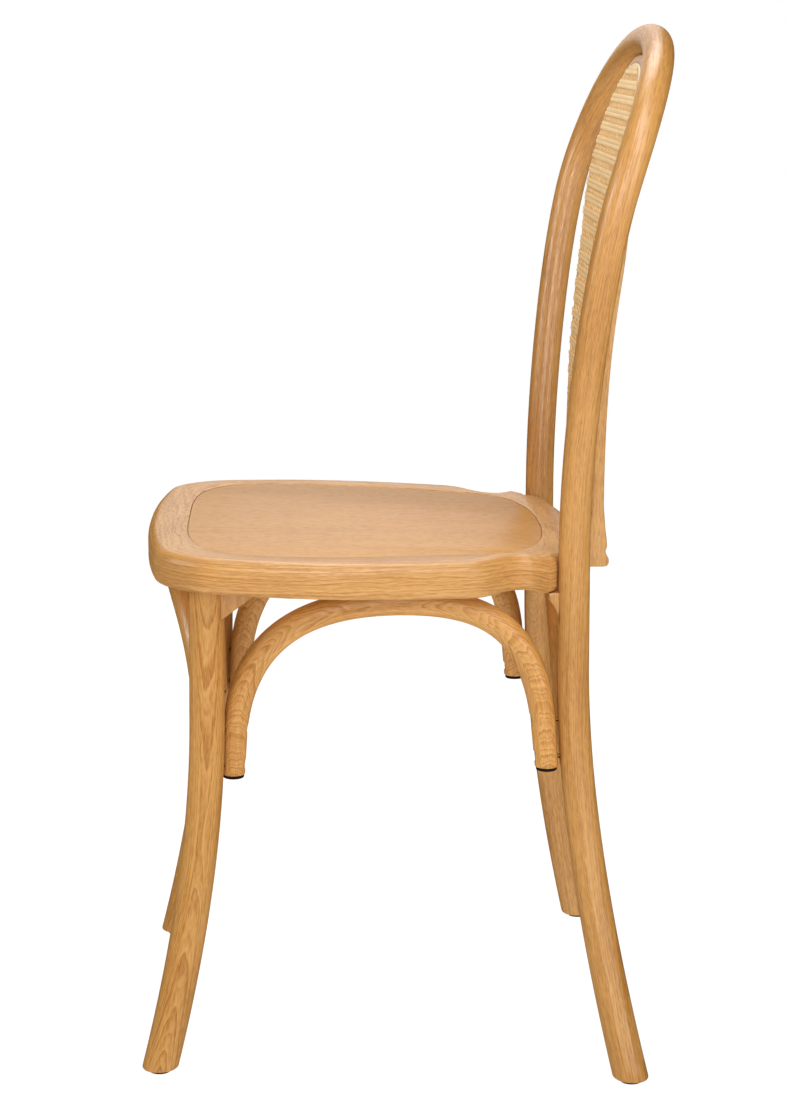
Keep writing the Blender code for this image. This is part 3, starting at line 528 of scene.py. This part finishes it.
# Front legs: round rods, straight under the seat and bent forwards and outwards to the foot. Each is
# glued into the rim by a turned tenon.
FRONT_LEG_TOP_RADIUS = 0.0152
FRONT_FOOT_RADIUS = 0.0154
FRONT_LEG_X = 0.1620
FRONT_LEG_Y = -0.1728
FRONT_LEG_LEAN = 0.0013
FRONT_BEND_Z = 0.318
FRONT_KNEE_Z = 0.177
FRONT_SPLAY_X = 0.0220
FRONT_SPLAY_Y = 0.0458
SEAT_SQUARE = Vector((0, SEAT_FALL, 1)).normalized()
leg_top = Vector((FRONT_LEG_X, FRONT_LEG_Y, seat_bottom(FRONT_LEG_Y)))
leg_bend = Vector((FRONT_LEG_X, FRONT_LEG_Y - FRONT_LEG_LEAN, FRONT_BEND_Z))
front_foot = Vector((FRONT_LEG_X + FRONT_SPLAY_X, FRONT_LEG_Y - FRONT_SPLAY_Y, GLIDE_HEIGHT))
front_leg_path = joined(
    sweep_out(leg_bend, FRONT_KNEE_Z, front_foot, 50)[::-1],
    straight(leg_bend, leg_top, 16),
)


def front_leg_radius(z):
    return FRONT_FOOT_RADIUS + (FRONT_LEG_TOP_RADIUS - FRONT_FOOT_RADIUS) * z / leg_top.z


leg_rings = [round_ring(front_leg_radius(point.z)) for point in front_leg_path]
leg_planes = {0: foot_level, len(front_leg_path) - 1: (leg_top, SEAT_SQUARE)}
front_right_path = [mirrored(point) for point in front_leg_path]
figured_wood = wood(
    "figured_wood", PALE_WOOD, WARM_WOOD, ring_width=0.0013, contrast=0.7, open_pores=0.7
)
for side_name, path, seed in (("left", front_leg_path, 31.0), ("right", front_right_path, 37.0)):
    shape = bmesh.new()
    loops = swept(path, leg_rings, REAR, leg_planes)
    foot_edges, _ = skin(shape, loops, leg_rings, distances(path), turn=0.0, seed=seed, runout=0.09)
    round_off(shape, foot_edges, FOOT_EDGE)
    node = f"front_leg_{side_name}"
    finished(f"front_leg_bent_{side_name}", shape, figured_wood, [node])

# Arch braces: four thinner rods bent to arches under the seat. Their crowns bear on the rim, and each end
# lies along a leg, held by two screws, which leave a dent in the free side of the two side arches.
ARCH_RADIUS = 0.0118
ARCH_END_RADIUS = 0.0100
ARCH_TAPER = 0.080
ARCH_END_Z = 0.2635
ARCH_STRAIGHT = 0.032
ARCH_GAP = 0.0024
ARCH_SIDE_FULLNESS = 0.73
ARCH_CROWN_FULLNESS = 0.60
ARCH_EDGE = 0.0010
SIDE_ARCH_X = 0.1590
SIDE_ARCH_Y = 0.0020
SIDE_ARCH_TUCK = Vector((0.0140, 0, 0))
SIDE_ARCH_FRONT_DROP = 0.0050
SIDE_ARCH_REAR_LIFT = 0.0045
FRONT_ARCH_SET = Vector((0, 0.0010, 0))
FRONT_ARCH_INSET = 0.0245
FRONT_ARCH_TILT = -0.06
REAR_ARCH_INSET = 0.0215
REAR_ARCH_SET = Vector((0, -0.0030, 0))
REAR_ARCH_DROP = 0.0020
SCREW_RISE = 0.0090
SCREW_SPACING = 0.0320
DENT_RADIUS = 0.0050
DENT_DEPTH = 0.0036
DENT_SKEW = 0.4
PALE_ARCH = (0.650, 0.345, 0.108)
WARM_ARCH = (0.430, 0.180, 0.035)
down_the_seat = Vector((0, 1, -SEAT_FALL))
arch_wood = wood(
    "arch_wood", PALE_ARCH, WARM_ARCH, ring_width=0.0016, figure=3.2, contrast=0.7, open_pores=0.6
)


def at_height(path, z):
    """Where the path first crosses this height."""
    for start, end in zip(path, path[1:]):
        if (start.z - z) * (end.z - z) <= 0 and start.z != end.z:
            return start.lerp(end, (z - start.z) / (end.z - start.z))
    raise ValueError("the path doesn't reach that height")


def arch_radius(z):
    """The rod is thinner at its ends."""
    share = min(1, max(0, (z - ARCH_END_Z) / ARCH_TAPER))
    return ARCH_END_RADIUS + (ARCH_RADIUS - ARCH_END_RADIUS) * share


def arch_half(leg, end_z, towards, shift, middle, along, tilt):
    """Half of an arch, from its end beside a leg to the middle of the crown."""
    leg_path, radius_at = leg
    low = at_height(leg_path, end_z)
    high = at_height(leg_path, end_z + ARCH_STRAIGHT)
    reach = ARCH_END_RADIUS + radius_at(end_z) + ARCH_GAP
    end = low + shift + towards * math.sqrt(reach**2 - shift.length_squared)
    upright = high - low + Vector((0, tilt * ARCH_STRAIGHT, 0))
    bend_start = end + upright
    bend_handle = bend_start + upright * (ARCH_SIDE_FULLNESS * (middle.z - bend_start.z) / ARCH_STRAIGHT)
    crown_handle = middle + along * (ARCH_CROWN_FULLNESS * (end - middle).dot(along))
    bent = interpolate_bezier(bend_start, bend_handle, crown_handle, middle, 90)
    return joined(straight(end, bend_start, 14), bent)


def dent(shape, centre, axis):
    """Presses a round dent into the skin, about a line through the centre."""
    for vert in shape.verts:
        offset = vert.co - centre
        depth = offset.dot(axis)
        share = (offset - axis * depth).length / DENT_RADIUS
        if share < 1 and abs(depth) < DENT_RADIUS:
            vert.co += axis * (DENT_DEPTH * (1 - share**4))


def arch(name, material, ends, middle_x, middle_y, along, turn, seed, tilt=0.0, dented=False):
    """A brace between two legs. Each end is (the leg, height of the end, side of the leg, shift)."""
    middle = Vector((middle_x, middle_y, seat_bottom(middle_y) - ARCH_RADIUS))
    halves = [arch_half(*end, middle, along, tilt) for end in ends]
    path = joined(halves[0], halves[1][::-1])
    rings = [round_ring(arch_radius(point.z)) for point in path]
    levels = {0: (path[0], UP), len(path) - 1: (path[-1], UP)}
    loops = swept(path, rings, along.cross(UP), levels)
    shape = bmesh.new()
    end_edges = skin(shape, loops, rings, distances(path), turn, seed, runout=0.40)
    if dented:
        for ((leg_path, _), end_z, _, _), half in zip(ends, halves):
            for height in (end_z + SCREW_RISE, end_z + SCREW_RISE + SCREW_SPACING):
                here = at_height(half, height)
                to_leg = at_height(leg_path, height) - here
                axis = Vector((DENT_SKEW * to_leg.x, to_leg.y, to_leg.z)).normalized()
                dent(shape, here - axis * arch_radius(height), axis)
    for edges in end_edges:
        round_off(shape, edges, ARCH_EDGE)
    finished(f"{name}_bent", shape, material, [name])
    return halves[0][0], halves[1][0]


front_left = (front_leg_path, front_leg_radius)
front_right = (front_right_path, front_leg_radius)
rear_left = (hoop_half, hoop_radius)
rear_right = ([mirrored(point) for point in hoop_half], hoop_radius)
no_shift = Vector((0, 0, 0))
side_front_z = ARCH_END_Z - SIDE_ARCH_FRONT_DROP
side_rear_z = ARCH_END_Z + SIDE_ARCH_REAR_LIFT
rear_cross_z = ARCH_END_Z - REAR_ARCH_DROP
arch_ends = {}
for side_name, outwards, front_leg, rear_leg, seed in (
    ("left", 1, front_left, rear_left, 41.0),
    ("right", -1, front_right, rear_right, 43.0),
):
    arch_ends[f"side_arch_{side_name}"] = arch(
        f"side_arch_{side_name}",
        arch_wood,
        (
            (front_leg, side_front_z, REAR, -outwards * SIDE_ARCH_TUCK),
            (rear_leg, side_rear_z, -REAR, no_shift),
        ),
        outwards * SIDE_ARCH_X,
        SIDE_ARCH_Y,
        down_the_seat,
        turn=math.pi / 2,
        seed=seed,
        dented=True,
    )
arch_ends["front_arch"] = arch(
    "front_arch",
    bent_wood,
    (
        (front_left, ARCH_END_Z, -LEFT, FRONT_ARCH_SET),
        (front_right, ARCH_END_Z, LEFT, FRONT_ARCH_SET),
    ),
    0,
    SEAT_FRONT_Y + FRONT_ARCH_INSET,
    -LEFT,
    turn=0.6,
    seed=47.0,
    tilt=FRONT_ARCH_TILT,
)
arch_ends["rear_arch"] = arch(
    "rear_arch",
    bent_wood,
    (
        (rear_left, rear_cross_z, -LEFT, REAR_ARCH_SET),
        (rear_right, rear_cross_z, LEFT, REAR_ARCH_SET),
    ),
    0,
    seat_rear_y - REAR_ARCH_INSET,
    -LEFT,
    turn=0.6,
    seed=53.0,
)

# End caps: moulded black plastic discs with a slightly domed face and a rounded rim. Each is plugged up
# into the end of an arch, and hides the end grain.
CAP_RADIUS = 0.0092
CAP_HEIGHT = 0.0033
CAP_DOME = 0.0003
CAP_ROUND = 0.0012
TURNED_SIDES = 28
SAME_PLACE = 0.00001
BLACK = (0.008, 0.005, 0.004)


def turned(shape, profile, foot):
    """Spins a profile of (radius, height) points about an upright axis through the foot."""
    points = [shape.verts.new((foot.x + radius, foot.y, foot.z + height)) for radius, height in profile]
    edges = [shape.edges.new(pair) for pair in zip(points, points[1:])]
    bmesh.ops.spin(
        shape,
        geom=points + edges,
        cent=foot,
        axis=UP,
        angle=2 * math.pi,
        steps=TURNED_SIDES,
        use_merge=True,
    )
    bmesh.ops.remove_doubles(shape, verts=shape.verts, dist=SAME_PLACE)


def plastic(name, colour):
    """Dull moulded plastic with a fine grain, paler where it is worn."""
    material, shader = blank_material(name)
    shade = Shade(material.node_tree)
    place = shade.node("TexCoord", {}, {}, "Object")
    grit = place.noise((2400, 2400, 2400), 2)
    wear = place.noise((160, 160, 160), 3)
    wear.between(0.45, 0.80).mixed(colour, [2.2 * part for part in colour]).into("Base Color")
    (grit * 0.2 + 0.42).into("Roughness")
    shade.node("Bump", {}, {"Height": grit, "Strength": 0.25, "Distance": 0.0002}).into("Normal")
    shader.inputs["Specular IOR Level"].default_value = 0.2
    return material


black_plastic = plastic("black_plastic", BLACK)
for name, ends in arch_ends.items():
    places = ("front", "rear") if name.startswith("side") else ("left", "right")
    for place, end in zip(places, ends):
        shape = bmesh.new()
        profile = [(0, 0), (CAP_RADIUS - CAP_ROUND, CAP_DOME)]
        profile += [
            (CAP_RADIUS - CAP_ROUND * (1 - math.sin(turn)), CAP_DOME + CAP_ROUND * (1 - math.cos(turn)))
            for turn in angles(15, 90, 5)
        ]
        profile += [(CAP_RADIUS, CAP_HEIGHT), (0, CAP_HEIGHT)]
        turned(shape, profile, end - UP * CAP_HEIGHT)
        node = f"{name}_cap_{place}"
        finished(f"{name}_cap_disc_{place}", shape, black_plastic, [node])

# Corner blocks: a sawn wedge glued under the seat behind each front leg, and a small hollowed corbel in
# front of each rear leg. The same wood, with eased edges, cut to fit close against the round legs.
FRONT_BLOCK_WIDTH = 0.020
FRONT_BLOCK_LENGTH = 0.032
FRONT_BLOCK_HEIGHT = 0.029
FRONT_BLOCK_TIP = 0.0018
REAR_BLOCK_WIDTH = 0.010
REAR_BLOCK_DEPTH = 0.0085
REAR_BLOCK_HEIGHT = 0.026
REAR_BLOCK_LIP = 0.006
REAR_BLOCK_TIP = 0.0004
BLOCK_EDGE = 0.0007
wedge_y = FRONT_LEG_Y + math.sqrt(FRONT_LEG_TOP_RADIUS**2 - (FRONT_BLOCK_WIDTH / 2) ** 2)
wedge_end_y = FRONT_LEG_Y + FRONT_LEG_TOP_RADIUS + FRONT_BLOCK_LENGTH
wedge = [
    (wedge_y, seat_bottom(wedge_y)),
    (wedge_y, seat_bottom(wedge_y) - FRONT_BLOCK_HEIGHT),
    (wedge_end_y, seat_bottom(wedge_end_y) - FRONT_BLOCK_TIP),
    (wedge_end_y, seat_bottom(wedge_end_y)),
]
corbel_y = WAIST_Y - math.sqrt(HOOP_RADIUS**2 - (REAR_BLOCK_WIDTH / 2) ** 2)
corbel_front_y = WAIST_Y - HOOP_RADIUS - REAR_BLOCK_DEPTH
corbel_top = seat_bottom(corbel_y)
corbel_low = corbel_top - REAR_BLOCK_HEIGHT
hollow_start = (corbel_front_y, corbel_top - REAR_BLOCK_LIP)
hollow_end = (corbel_y - REAR_BLOCK_TIP, corbel_low)
hollow = bend(hollow_start, (1, -1), hollow_end, (0.14, -1), 14)
corbel = [(corbel_y, corbel_top), (corbel_front_y, corbel_top), *hollow, (corbel_y, corbel_low)]


def block(name, profile, x, width, seed, node):
    """A solid with this outline of (y, z) points, this wide, centred on x. Its grain stands upright."""
    shape = bmesh.new()
    loops = [[Vector((x + shift, y, z)) for y, z in profile] for shift in (-width / 2, width / 2)]
    ends = skin(shape, loops, [[(0, 0)] * len(profile)] * 2, [0.0, width])
    grain = shape.verts.layers.float_vector["grain"]
    for vert in shape.verts:
        vert[grain] = (vert.co.x, vert.co.y, vert.co.z + seed)
    round_off(shape, ends[0] + ends[1], BLOCK_EDGE, segments=2)
    finished(name, shape, bent_wood, [node])


for side_name, outwards in (("left", 1), ("right", -1)):
    wedge_x = outwards * FRONT_LEG_X
    corbel_x = outwards * WAIST_X
    block(f"front_wedge_{side_name}", wedge, wedge_x, FRONT_BLOCK_WIDTH, 61.0, f"front_block_{side_name}")
    block(f"rear_corbel_{side_name}", corbel, corbel_x, REAR_BLOCK_WIDTH, 67.0, f"rear_block_{side_name}")

# Cane hoop: a flat strip of the same wood with rounded edges, bent to a narrow arch inside the back hoop.
# A groove in its front takes the cane, and its feet are flared and screwed to the rear of the seat.
CANE_HOOP_WIDTH = 0.022
CANE_HOOP_DEPTH = 0.0120
CANE_HOOP_X = 0.0965
CANE_SETBACK = 0.0154
CANE_EDGE = 0.0042
CANE_FOOT_EDGE = 0.0012
CANE_SHOULDER = Vector((0.1140, 0.1833, 0.728))
CANE_SHOULDER_WAY = Vector((0, 0.07, 1))
CANE_LEAN = 0.27
CANE_FOOT_DROP = 0.0195
CANE_FLARE_TOP = 0.054
CANE_RAIL_RISE = 0.047
HOOP_GAP = 0.0006
GROOVE_WIDTH = 0.0048
GROOVE_DEPTH = 0.0020
# The moulded rear of a foot: heights above its end, and how far it reaches to the rear.
FOOT_PROFILE = [
    (0.0000, 0.0092),
    (0.0015, 0.0106),
    (0.0040, 0.0113),
    (0.0070, 0.0108),
    (0.0105, 0.0088),
    (0.0125, 0.0081),
    (0.0145, 0.0084),
    (0.0175, 0.0094),
    (0.0230, 0.0091),
    (0.0340, 0.0076),
    (0.0540, 0.0060),
]
PALE_STRIP = (0.680, 0.390, 0.155)
WARM_STRIP = (0.480, 0.225, 0.058)
half_width = CANE_HOOP_WIDTH / 2
half_depth = CANE_HOOP_DEPTH / 2
cane_rail_z = seat_top(WAIST_Y) + CANE_RAIL_RISE
cane_foot_y = rear_edge(CANE_HOOP_X) + CANE_SETBACK
cane_foot = Vector((CANE_HOOP_X, cane_foot_y, seat_top(cane_foot_y) - CANE_FOOT_DROP))
flare_top = cane_foot + UP * CANE_FLARE_TOP
up_the_back = Vector((0, CANE_LEAN, 1)).normalized()
cane_top = hoop_top - up_the_back * (HOOP_RADIUS + HOOP_GAP + half_width)
foot_front = rear_edge(CANE_HOOP_X - half_width) + HOOP_GAP - cane_foot_y


def back_normal(z):
    """Rearwards, square to the leaning back."""
    share = (z - cane_rail_z) / (CANE_SHOULDER.z - cane_rail_z)
    return Vector((0, 1, -CANE_LEAN * min(1, max(0, share)))).normalized()


def rounded_box(front, rear, groove):
    """A strip's section with round corners, and a groove this deep down the middle of its front."""
    corners = [
        (half_width - CANE_EDGE, rear - CANE_EDGE, 0),
        (CANE_EDGE - half_width, rear - CANE_EDGE, 90),
        (CANE_EDGE - half_width, front + CANE_EDGE, 180),
        (half_width - CANE_EDGE, front + CANE_EDGE, 270),
    ]
    points = []
    for across, through, first in corners:
        if first == 270:
            edge = GROOVE_WIDTH / 2
            points += [(-edge, front), (-edge, front + groove), (edge, front + groove), (edge, front)]
        points += [
            (across + CANE_EDGE * math.cos(turn), through + CANE_EDGE * math.sin(turn))
            for turn in angles(first, first + 90, 6)
        ]
    return points


strand = bend(flare_top, UP, CANE_SHOULDER, CANE_SHOULDER_WAY, 60, hold=0.62, end_hold=0.25)
crown = bend(CANE_SHOULDER, CANE_SHOULDER_WAY, cane_top, -LEFT, 50, hold=0.36, end_hold=0.50)
foot_heights, foot_reaches = zip(*FOOT_PROFILE)
cane_half = joined(straight(cane_foot, flare_top, 40), strand, crown)
cane_path = both_sides(cane_half)
cane_rings = []
for point in cane_path:
    height = point.z - cane_foot.z
    share = min(1, height / CANE_FLARE_TOP)
    front = foot_front + (-half_depth - foot_front) * share
    rear = float(np.interp(height, foot_heights, foot_reaches))
    cane_rings.append(rounded_box(front, rear, GROOVE_DEPTH if point.z > cane_rail_z else 0.0))
shape = bmesh.new()
loops = swept(cane_path, cane_rings, [back_normal(point.z) for point in cane_path])
for edges in skin(shape, loops, cane_rings, distances(cane_path), turn=0.3, seed=71.0, runout=0.01):
    round_off(shape, edges, CANE_FOOT_EDGE, segments=2)
strip_wood = wood("strip_wood", PALE_STRIP, WARM_STRIP, figure=0.6, contrast=0.40)
finished("cane_hoop_bent", shape, strip_wood, ["cane_hoop"])

# Cane rail: a short straight strip of the same wood and section, dowelled between the two strands of the
# cane hoop. Its groove carries on theirs, so that the cane is held all round.
RAIL_GAP = 0.0003
rail_middle = Vector((0, at_height(cane_half, cane_rail_z).y, cane_rail_z))
rail_reach = LEFT * (CANE_HOOP_X - half_width - RAIL_GAP)
rail_path = straight(rail_middle - rail_reach, rail_middle + rail_reach, 12)
rail_rings = [rounded_box(-half_depth, half_depth, GROOVE_DEPTH)] * len(rail_path)
shape = bmesh.new()
skin(shape, swept(rail_path, rail_rings, REAR), rail_rings, distances(rail_path), turn=0.4, seed=73.0)
finished("cane_rail_strip", shape, strip_wood, ["cane_rail"])

# Cane spline: a cream reed pressed into the groove over the edge of the cane, which it holds tight.
# It runs up both sides, over the top and along the rail, and its ends meet there.
SPLINE_WIDTH = 0.0042
SPLINE_PROUD = 0.0012
SPLINE_SUNK = 0.0016
SPLINE_BEND = 0.016
PALE_REED = (0.900, 0.780, 0.520)
WARM_REED = (0.780, 0.590, 0.320)


def reed(name, pale, warm):
    """Split cane: a shiny skin with fine lengthwise fibres and browner stretches. A piece may carry a
    tone on its points, which makes it browner: partly the cane's own duller tone, partly painted shade
    where it lies under other strands."""
    material, _ = blank_material(name)
    shade = Shade(material.node_tree)
    grain = shade.node("Attribute", {"attribute_name": "grain"}, {}, "Vector")
    tone = shade.node("Attribute", {"attribute_name": "tone"}, {}, "Fac")
    fibre = grain.noise((2600, 2600, 30), 2)
    stretch = grain.noise((30, 30, 14), 2)
    (fibre * 0.7 + stretch * 0.8 + tone - 0.35).between(0.2, 1.1).mixed(pale, warm).into("Base Color")
    (fibre * 0.2 + 0.42).into("Roughness")
    shade.node("Bump", {}, {"Height": fibre, "Strength": 0.2, "Distance": 0.0002}).into("Normal")
    return material


spline_low = Vector((CANE_HOOP_X, rail_middle.y, cane_rail_z))
spline_corner = bend(spline_low - LEFT * SPLINE_BEND, LEFT, spline_low + UP * SPLINE_BEND, UP, 14)
spline_start = straight(rail_middle, spline_corner[0], 20)
spline_rise = [point for point in joined(strand, crown) if point.z > spline_corner[-1].z]
spline_half = joined(spline_start, spline_corner) + spline_rise
spline_path = both_sides(spline_half)
spline_ring = [
    (
        SPLINE_WIDTH / 2 * math.cos(turn),
        -half_depth + (SPLINE_PROUD if math.sin(turn) < 0 else SPLINE_SUNK) * math.sin(turn),
    )
    for turn in angles(0, 345, 24)
]
spline_rings = [spline_ring] * len(spline_path)
shape = bmesh.new()
loops = swept(spline_path, spline_rings, [back_normal(point.z) for point in spline_path])
skin(shape, loops, spline_rings, distances(spline_path), seed=79.0)
finished("cane_spline_reed", shape, reed("spline_reed", PALE_REED, WARM_REED), ["cane_spline"])

# Cane sheet: machine-woven split cane in the six-way pattern, with pairs of upright and level strands and
# single ones along both diagonals. It is stretched over the opening and tucked under the spline.
MESH_PITCH = 0.0134
PAIR_SPREAD = 0.0019
UPRIGHT_WIDTH = 0.0021
LEVEL_WIDTH = 0.0031
DIAGONAL_WIDTH = 0.0026
STRAND_THICKNESS = 0.0009
STRAND_CROWN = 0.4 * STRAND_THICKNESS
STRAND_STEP = MESH_PITCH / 4
LONGEST_RUN = 240
SHEET_FRONT = 0.0064
LEVEL_LIFT = 0.0008
DIAGONAL_WAVE = 0.00035
# The upright and diagonal strands lie under the lifted level ones. Their tones paint their own duller
# colour and also the shade that falls on them there.
DIAGONAL_TONE_AND_SHADE = 0.45
UPRIGHT_TONE_AND_SHADE = 0.25
PALE_CANE = (0.960, 0.680, 0.340)
WARM_CANE = (0.680, 0.395, 0.150)
sheet_axis = [Vector((0, point.y, point.z)) for point in cane_half if point.z >= cane_rail_z]
sheet_heights = distances(sheet_axis)
sheet_reach = [point.x for point in cane_half if point.z >= cane_rail_z]


def sheet_point(x, height, lift):
    """A point on the leaning sheet, this far up it and lifted off its front."""
    y = float(np.interp(height, sheet_heights, [point.y for point in sheet_axis]))
    z = float(np.interp(height, sheet_heights, [point.z for point in sheet_axis]))
    return Vector((x, y, z)) - back_normal(z) * (SHEET_FRONT + lift)


def inside_sheet(x, height):
    if not 0 <= height <= sheet_heights[-1]:
        return False
    return abs(x) <= float(np.interp(height, sheet_heights, sheet_reach))


def cane_strip(shape, start, way, width, seed, lift=0.0, wave=0.0, tone=0.0):
    """One strand: a flat strip along a line of the sheet, cut off at the edge of the opening. It lies at
    this lift, and rises and falls by the wave as it goes over and under."""
    across = Vector((way.y, -way.x))
    run = [start + way * (STRAND_STEP * k) for k in range(-LONGEST_RUN, LONGEST_RUN + 1)]
    run = [point for point in run if inside_sheet(point.x, point.y)]
    if len(run) < 3:
        return
    grain = shape.verts.layers.float_vector["grain"]
    tone_and_shade = shape.verts.layers.float["tone"]
    grid = bmesh.ops.create_grid(shape, x_segments=len(run) - 1, y_segments=2, size=1.0)["verts"]
    grid.sort(key=lambda vert: (round(vert.co.x, 6), vert.co.y))
    for k, vert in enumerate(grid):
        column, row = divmod(k, 3)
        point = run[column] + across * (width * (row - 1) / 2)
        crown_lift = STRAND_CROWN if row == 1 else 0.0
        along = (run[column] - start).dot(way)
        rise = wave * math.cos(2 * math.pi * along / MESH_PITCH)
        vert.co = sheet_point(point.x, point.y, lift + crown_lift + rise)
        vert[grain] = (width * (row - 1) / 2, seed, along + seed)
        # The tone darkens the strand, partly for its own duller colour and partly as painted shade where
        # it lies under the level strands.
        vert[tone_and_shade] = tone
    faces = list({face for vert in grid for face in vert.link_faces})
    bmesh.ops.recalc_face_normals(shape, faces=faces)
    bmesh.ops.solidify(shape, geom=faces, thickness=STRAND_THICKNESS)


shape = bmesh.new()
shape.verts.layers.float_vector.new("grain")
shape.verts.layers.float.new("tone")
columns = int(max(sheet_reach) / MESH_PITCH) + 1
rows = int(sheet_heights[-1] / MESH_PITCH) + 1
upright = Vector((0, 1))
level = Vector((1, 0))
for k in range(-columns, columns + 1):
    for offset in (-PAIR_SPREAD, PAIR_SPREAD):
        start = Vector((k * MESH_PITCH + offset, 0))
        cane_strip(shape, start, upright, UPRIGHT_WIDTH, 1.3 * k + 90 * offset, tone=UPRIGHT_TONE_AND_SHADE)
for k in range(rows):
    for offset in (-PAIR_SPREAD, PAIR_SPREAD):
        start = Vector((0, k * MESH_PITCH + offset))
        cane_strip(shape, start, level, LEVEL_WIDTH, 40 + 1.7 * k + 90 * offset, lift=LEVEL_LIFT)
for slope in (1, -1):
    diagonal = Vector((slope, 1)).normalized()
    for k in range(-columns - rows, columns + rows + 1):
        start = Vector(((k + 0.5) * MESH_PITCH, 0))
        seed = 80 + 2.1 * k + 7 * slope
        wave = slope * DIAGONAL_WAVE
        cane_strip(shape, start, diagonal, DIAGONAL_WIDTH, seed, wave=wave, tone=DIAGONAL_TONE_AND_SHADE)
finished("cane_weave", shape, reed("woven_cane", PALE_CANE, WARM_CANE), ["cane_panel"])

# Foot glides: discs of the same black plastic as the caps, pinned under the feet to spare the floor.
# Their lower edges are chamfered, so that they slide.
GLIDE_RADIUS = 0.0100
GLIDE_CHAMFER = 0.0010
for end_name, foot in (("front", front_foot), ("rear", rear_foot)):
    for side_name, outwards in (("left", 1), ("right", -1)):
        shape = bmesh.new()
        profile = [
            (0, 0),
            (GLIDE_RADIUS - GLIDE_CHAMFER, 0),
            (GLIDE_RADIUS, GLIDE_CHAMFER),
            (GLIDE_RADIUS, GLIDE_HEIGHT),
            (0, GLIDE_HEIGHT),
        ]
        turned(shape, profile, Vector((outwards * foot.x, foot.y, 0)))
        name = f"foot_glide_{end_name}_{side_name}"
        finished(f"{name}_disc", shape, black_plastic, [name])

# Screws, bolts and dowels: the frame's own pieces, sunk into the wood. Screws and bolts are cold-headed
# steel with a dull yellow zinc plating, whose colour is painted darker with the shade of the holes they
# sit in. The dowels are plain wood.
BRIGHT_PLATING_IN_SHADE = (0.240, 0.130, 0.040)
DULL_PLATING_IN_SHADE = (0.160, 0.080, 0.022)
steel, steel_shader = blank_material("plated_steel_in_painted_shade")
shade = Shade(steel.node_tree)
place = shade.node("TexCoord", {}, {}, "Object")
scuffs = place.noise((900, 900, 900), 3)
# Both plating colours are painted shade as well as plating: they are darkened for the shade in the screw
# holes, and the scuffs mix them at random.
scuffs.mixed(BRIGHT_PLATING_IN_SHADE, DULL_PLATING_IN_SHADE).into("Base Color")
(scuffs * 0.3 + 0.3).into("Roughness")
steel_shader.inputs["Metallic"].default_value = 1.0
for name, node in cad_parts.items():
    if "screw" in name or "bolt" in name or "dowel" in name:
        node.data.materials.clear()
        node.data.materials.append(bent_wood if "dowel" in name else steel)

# Studio: a white floor and surround that only the camera sees. The chair is lit by soft lights overhead,
# beside the camera, in front and behind, and from below by the light that a bright floor throws back,
# which shows as light on the wood and not as a reflection in the lacquer.
FLOOR_SIZE = 80.0
FLOOR_COLOUR = (0.05, 0.05, 0.05)
FLOOR_GLOW = 1.0
BOUNCE = (1.6, 1.6, 1.6)
DARK = (0.0, 0.0, 0.0)
WHITE = (1.0, 1.0, 1.0)
CAMERA_PLACE = Vector((2.3979, -0.098, 0.8933))
CAMERA_YAW = 0.0377
CAMERA_PITCH = 0.1919
CAMERA_LENS = 87.34
shape = bmesh.new()
bmesh.ops.create_grid(shape, x_segments=1, y_segments=1, size=FLOOR_SIZE / 2)
mesh = bpy.data.meshes.new("floor")
shape.to_mesh(mesh)
shape.free()
floor_material, floor_shader = blank_material("floor")
shade = Shade(floor_material.node_tree)
place = shade.node("TexCoord", {}, {}, "Object")
brighter = [1.02 * part for part in FLOOR_COLOUR]
place.noise((3, 3, 3), 2).mixed(FLOOR_COLOUR, brighter).into("Base Color")
floor_shader.inputs["Roughness"].default_value = 0.9
floor_shader.inputs["Emission Color"].default_value = (1, 1, 1, 1)
floor_shader.inputs["Emission Strength"].default_value = FLOOR_GLOW
mesh.materials.append(floor_material)
floor = bpy.data.objects.new("floor", mesh)
bpy.context.collection.objects.link(floor)
floor.visible_diffuse = False
floor.visible_glossy = False
floor.visible_shadow = False


def soft_light(name, place, size, power):
    """A round light that shines at the seat."""
    light = bpy.data.lights.new(name, "AREA")
    light.shape = "DISK"
    light.size = size
    light.energy = power
    lamp = bpy.data.objects.new(name, light)
    lamp.location = place
    lamp.rotation_euler = (seat_bottom(0) * UP - Vector(place)).to_track_quat("-Z", "Y").to_euler()
    lamp.visible_camera = False
    bpy.context.collection.objects.link(lamp)


soft_light("overhead_near", (1.1, -0.1, 2.6), 1.2, 20)
soft_light("overhead_far", (-1.0, 0.0, 2.6), 1.6, 32)
soft_light("above_camera", (1.7, 0.8, 2.1), 1.2, 22)
soft_light("beside_camera", (2.7, -0.25, 1.1), 1.2, 28)
soft_light("rear_side", (1.8, 1.7, 0.9), 1.2, 12)
soft_light("front", (0.6, -2.4, 1.4), 1.2, 23)
soft_light("behind", (-2.4, 0.0, 1.5), 1.6, 7.3)
scene = bpy.context.scene
world = bpy.data.worlds.new("surround")
world.use_nodes = True
shade = Shade(world.node_tree)
height = shade.node("SeparateXYZ", {}, {0: shade.node("TexCoord", {}, {}, "Generated")}, "Z")
thrown_up = height.between(-0.34, -0.26).mixed(BOUNCE, DARK)
seen = shade.node("LightPath", {}, {}, "Is Camera Ray").mixed(thrown_up, WHITE)
world.node_tree.links.new(seen.socket, world.node_tree.nodes["Background"].inputs["Color"])
scene.world = world
world.cycles_visibility.glossy = False
scene.view_settings.view_transform = "Standard"

camera_data = bpy.data.cameras.new("camera")
camera_data.lens = CAMERA_LENS
camera = bpy.data.objects.new("camera", camera_data)
camera.location = CAMERA_PLACE
forward = Vector(
    (
        -math.cos(CAMERA_PITCH) * math.cos(CAMERA_YAW),
        math.cos(CAMERA_PITCH) * math.sin(CAMERA_YAW),
        -math.sin(CAMERA_PITCH),
    )
)
camera.rotation_euler = forward.to_track_quat("-Z", "Y").to_euler()
bpy.context.collection.objects.link(camera)
scene.camera = camera
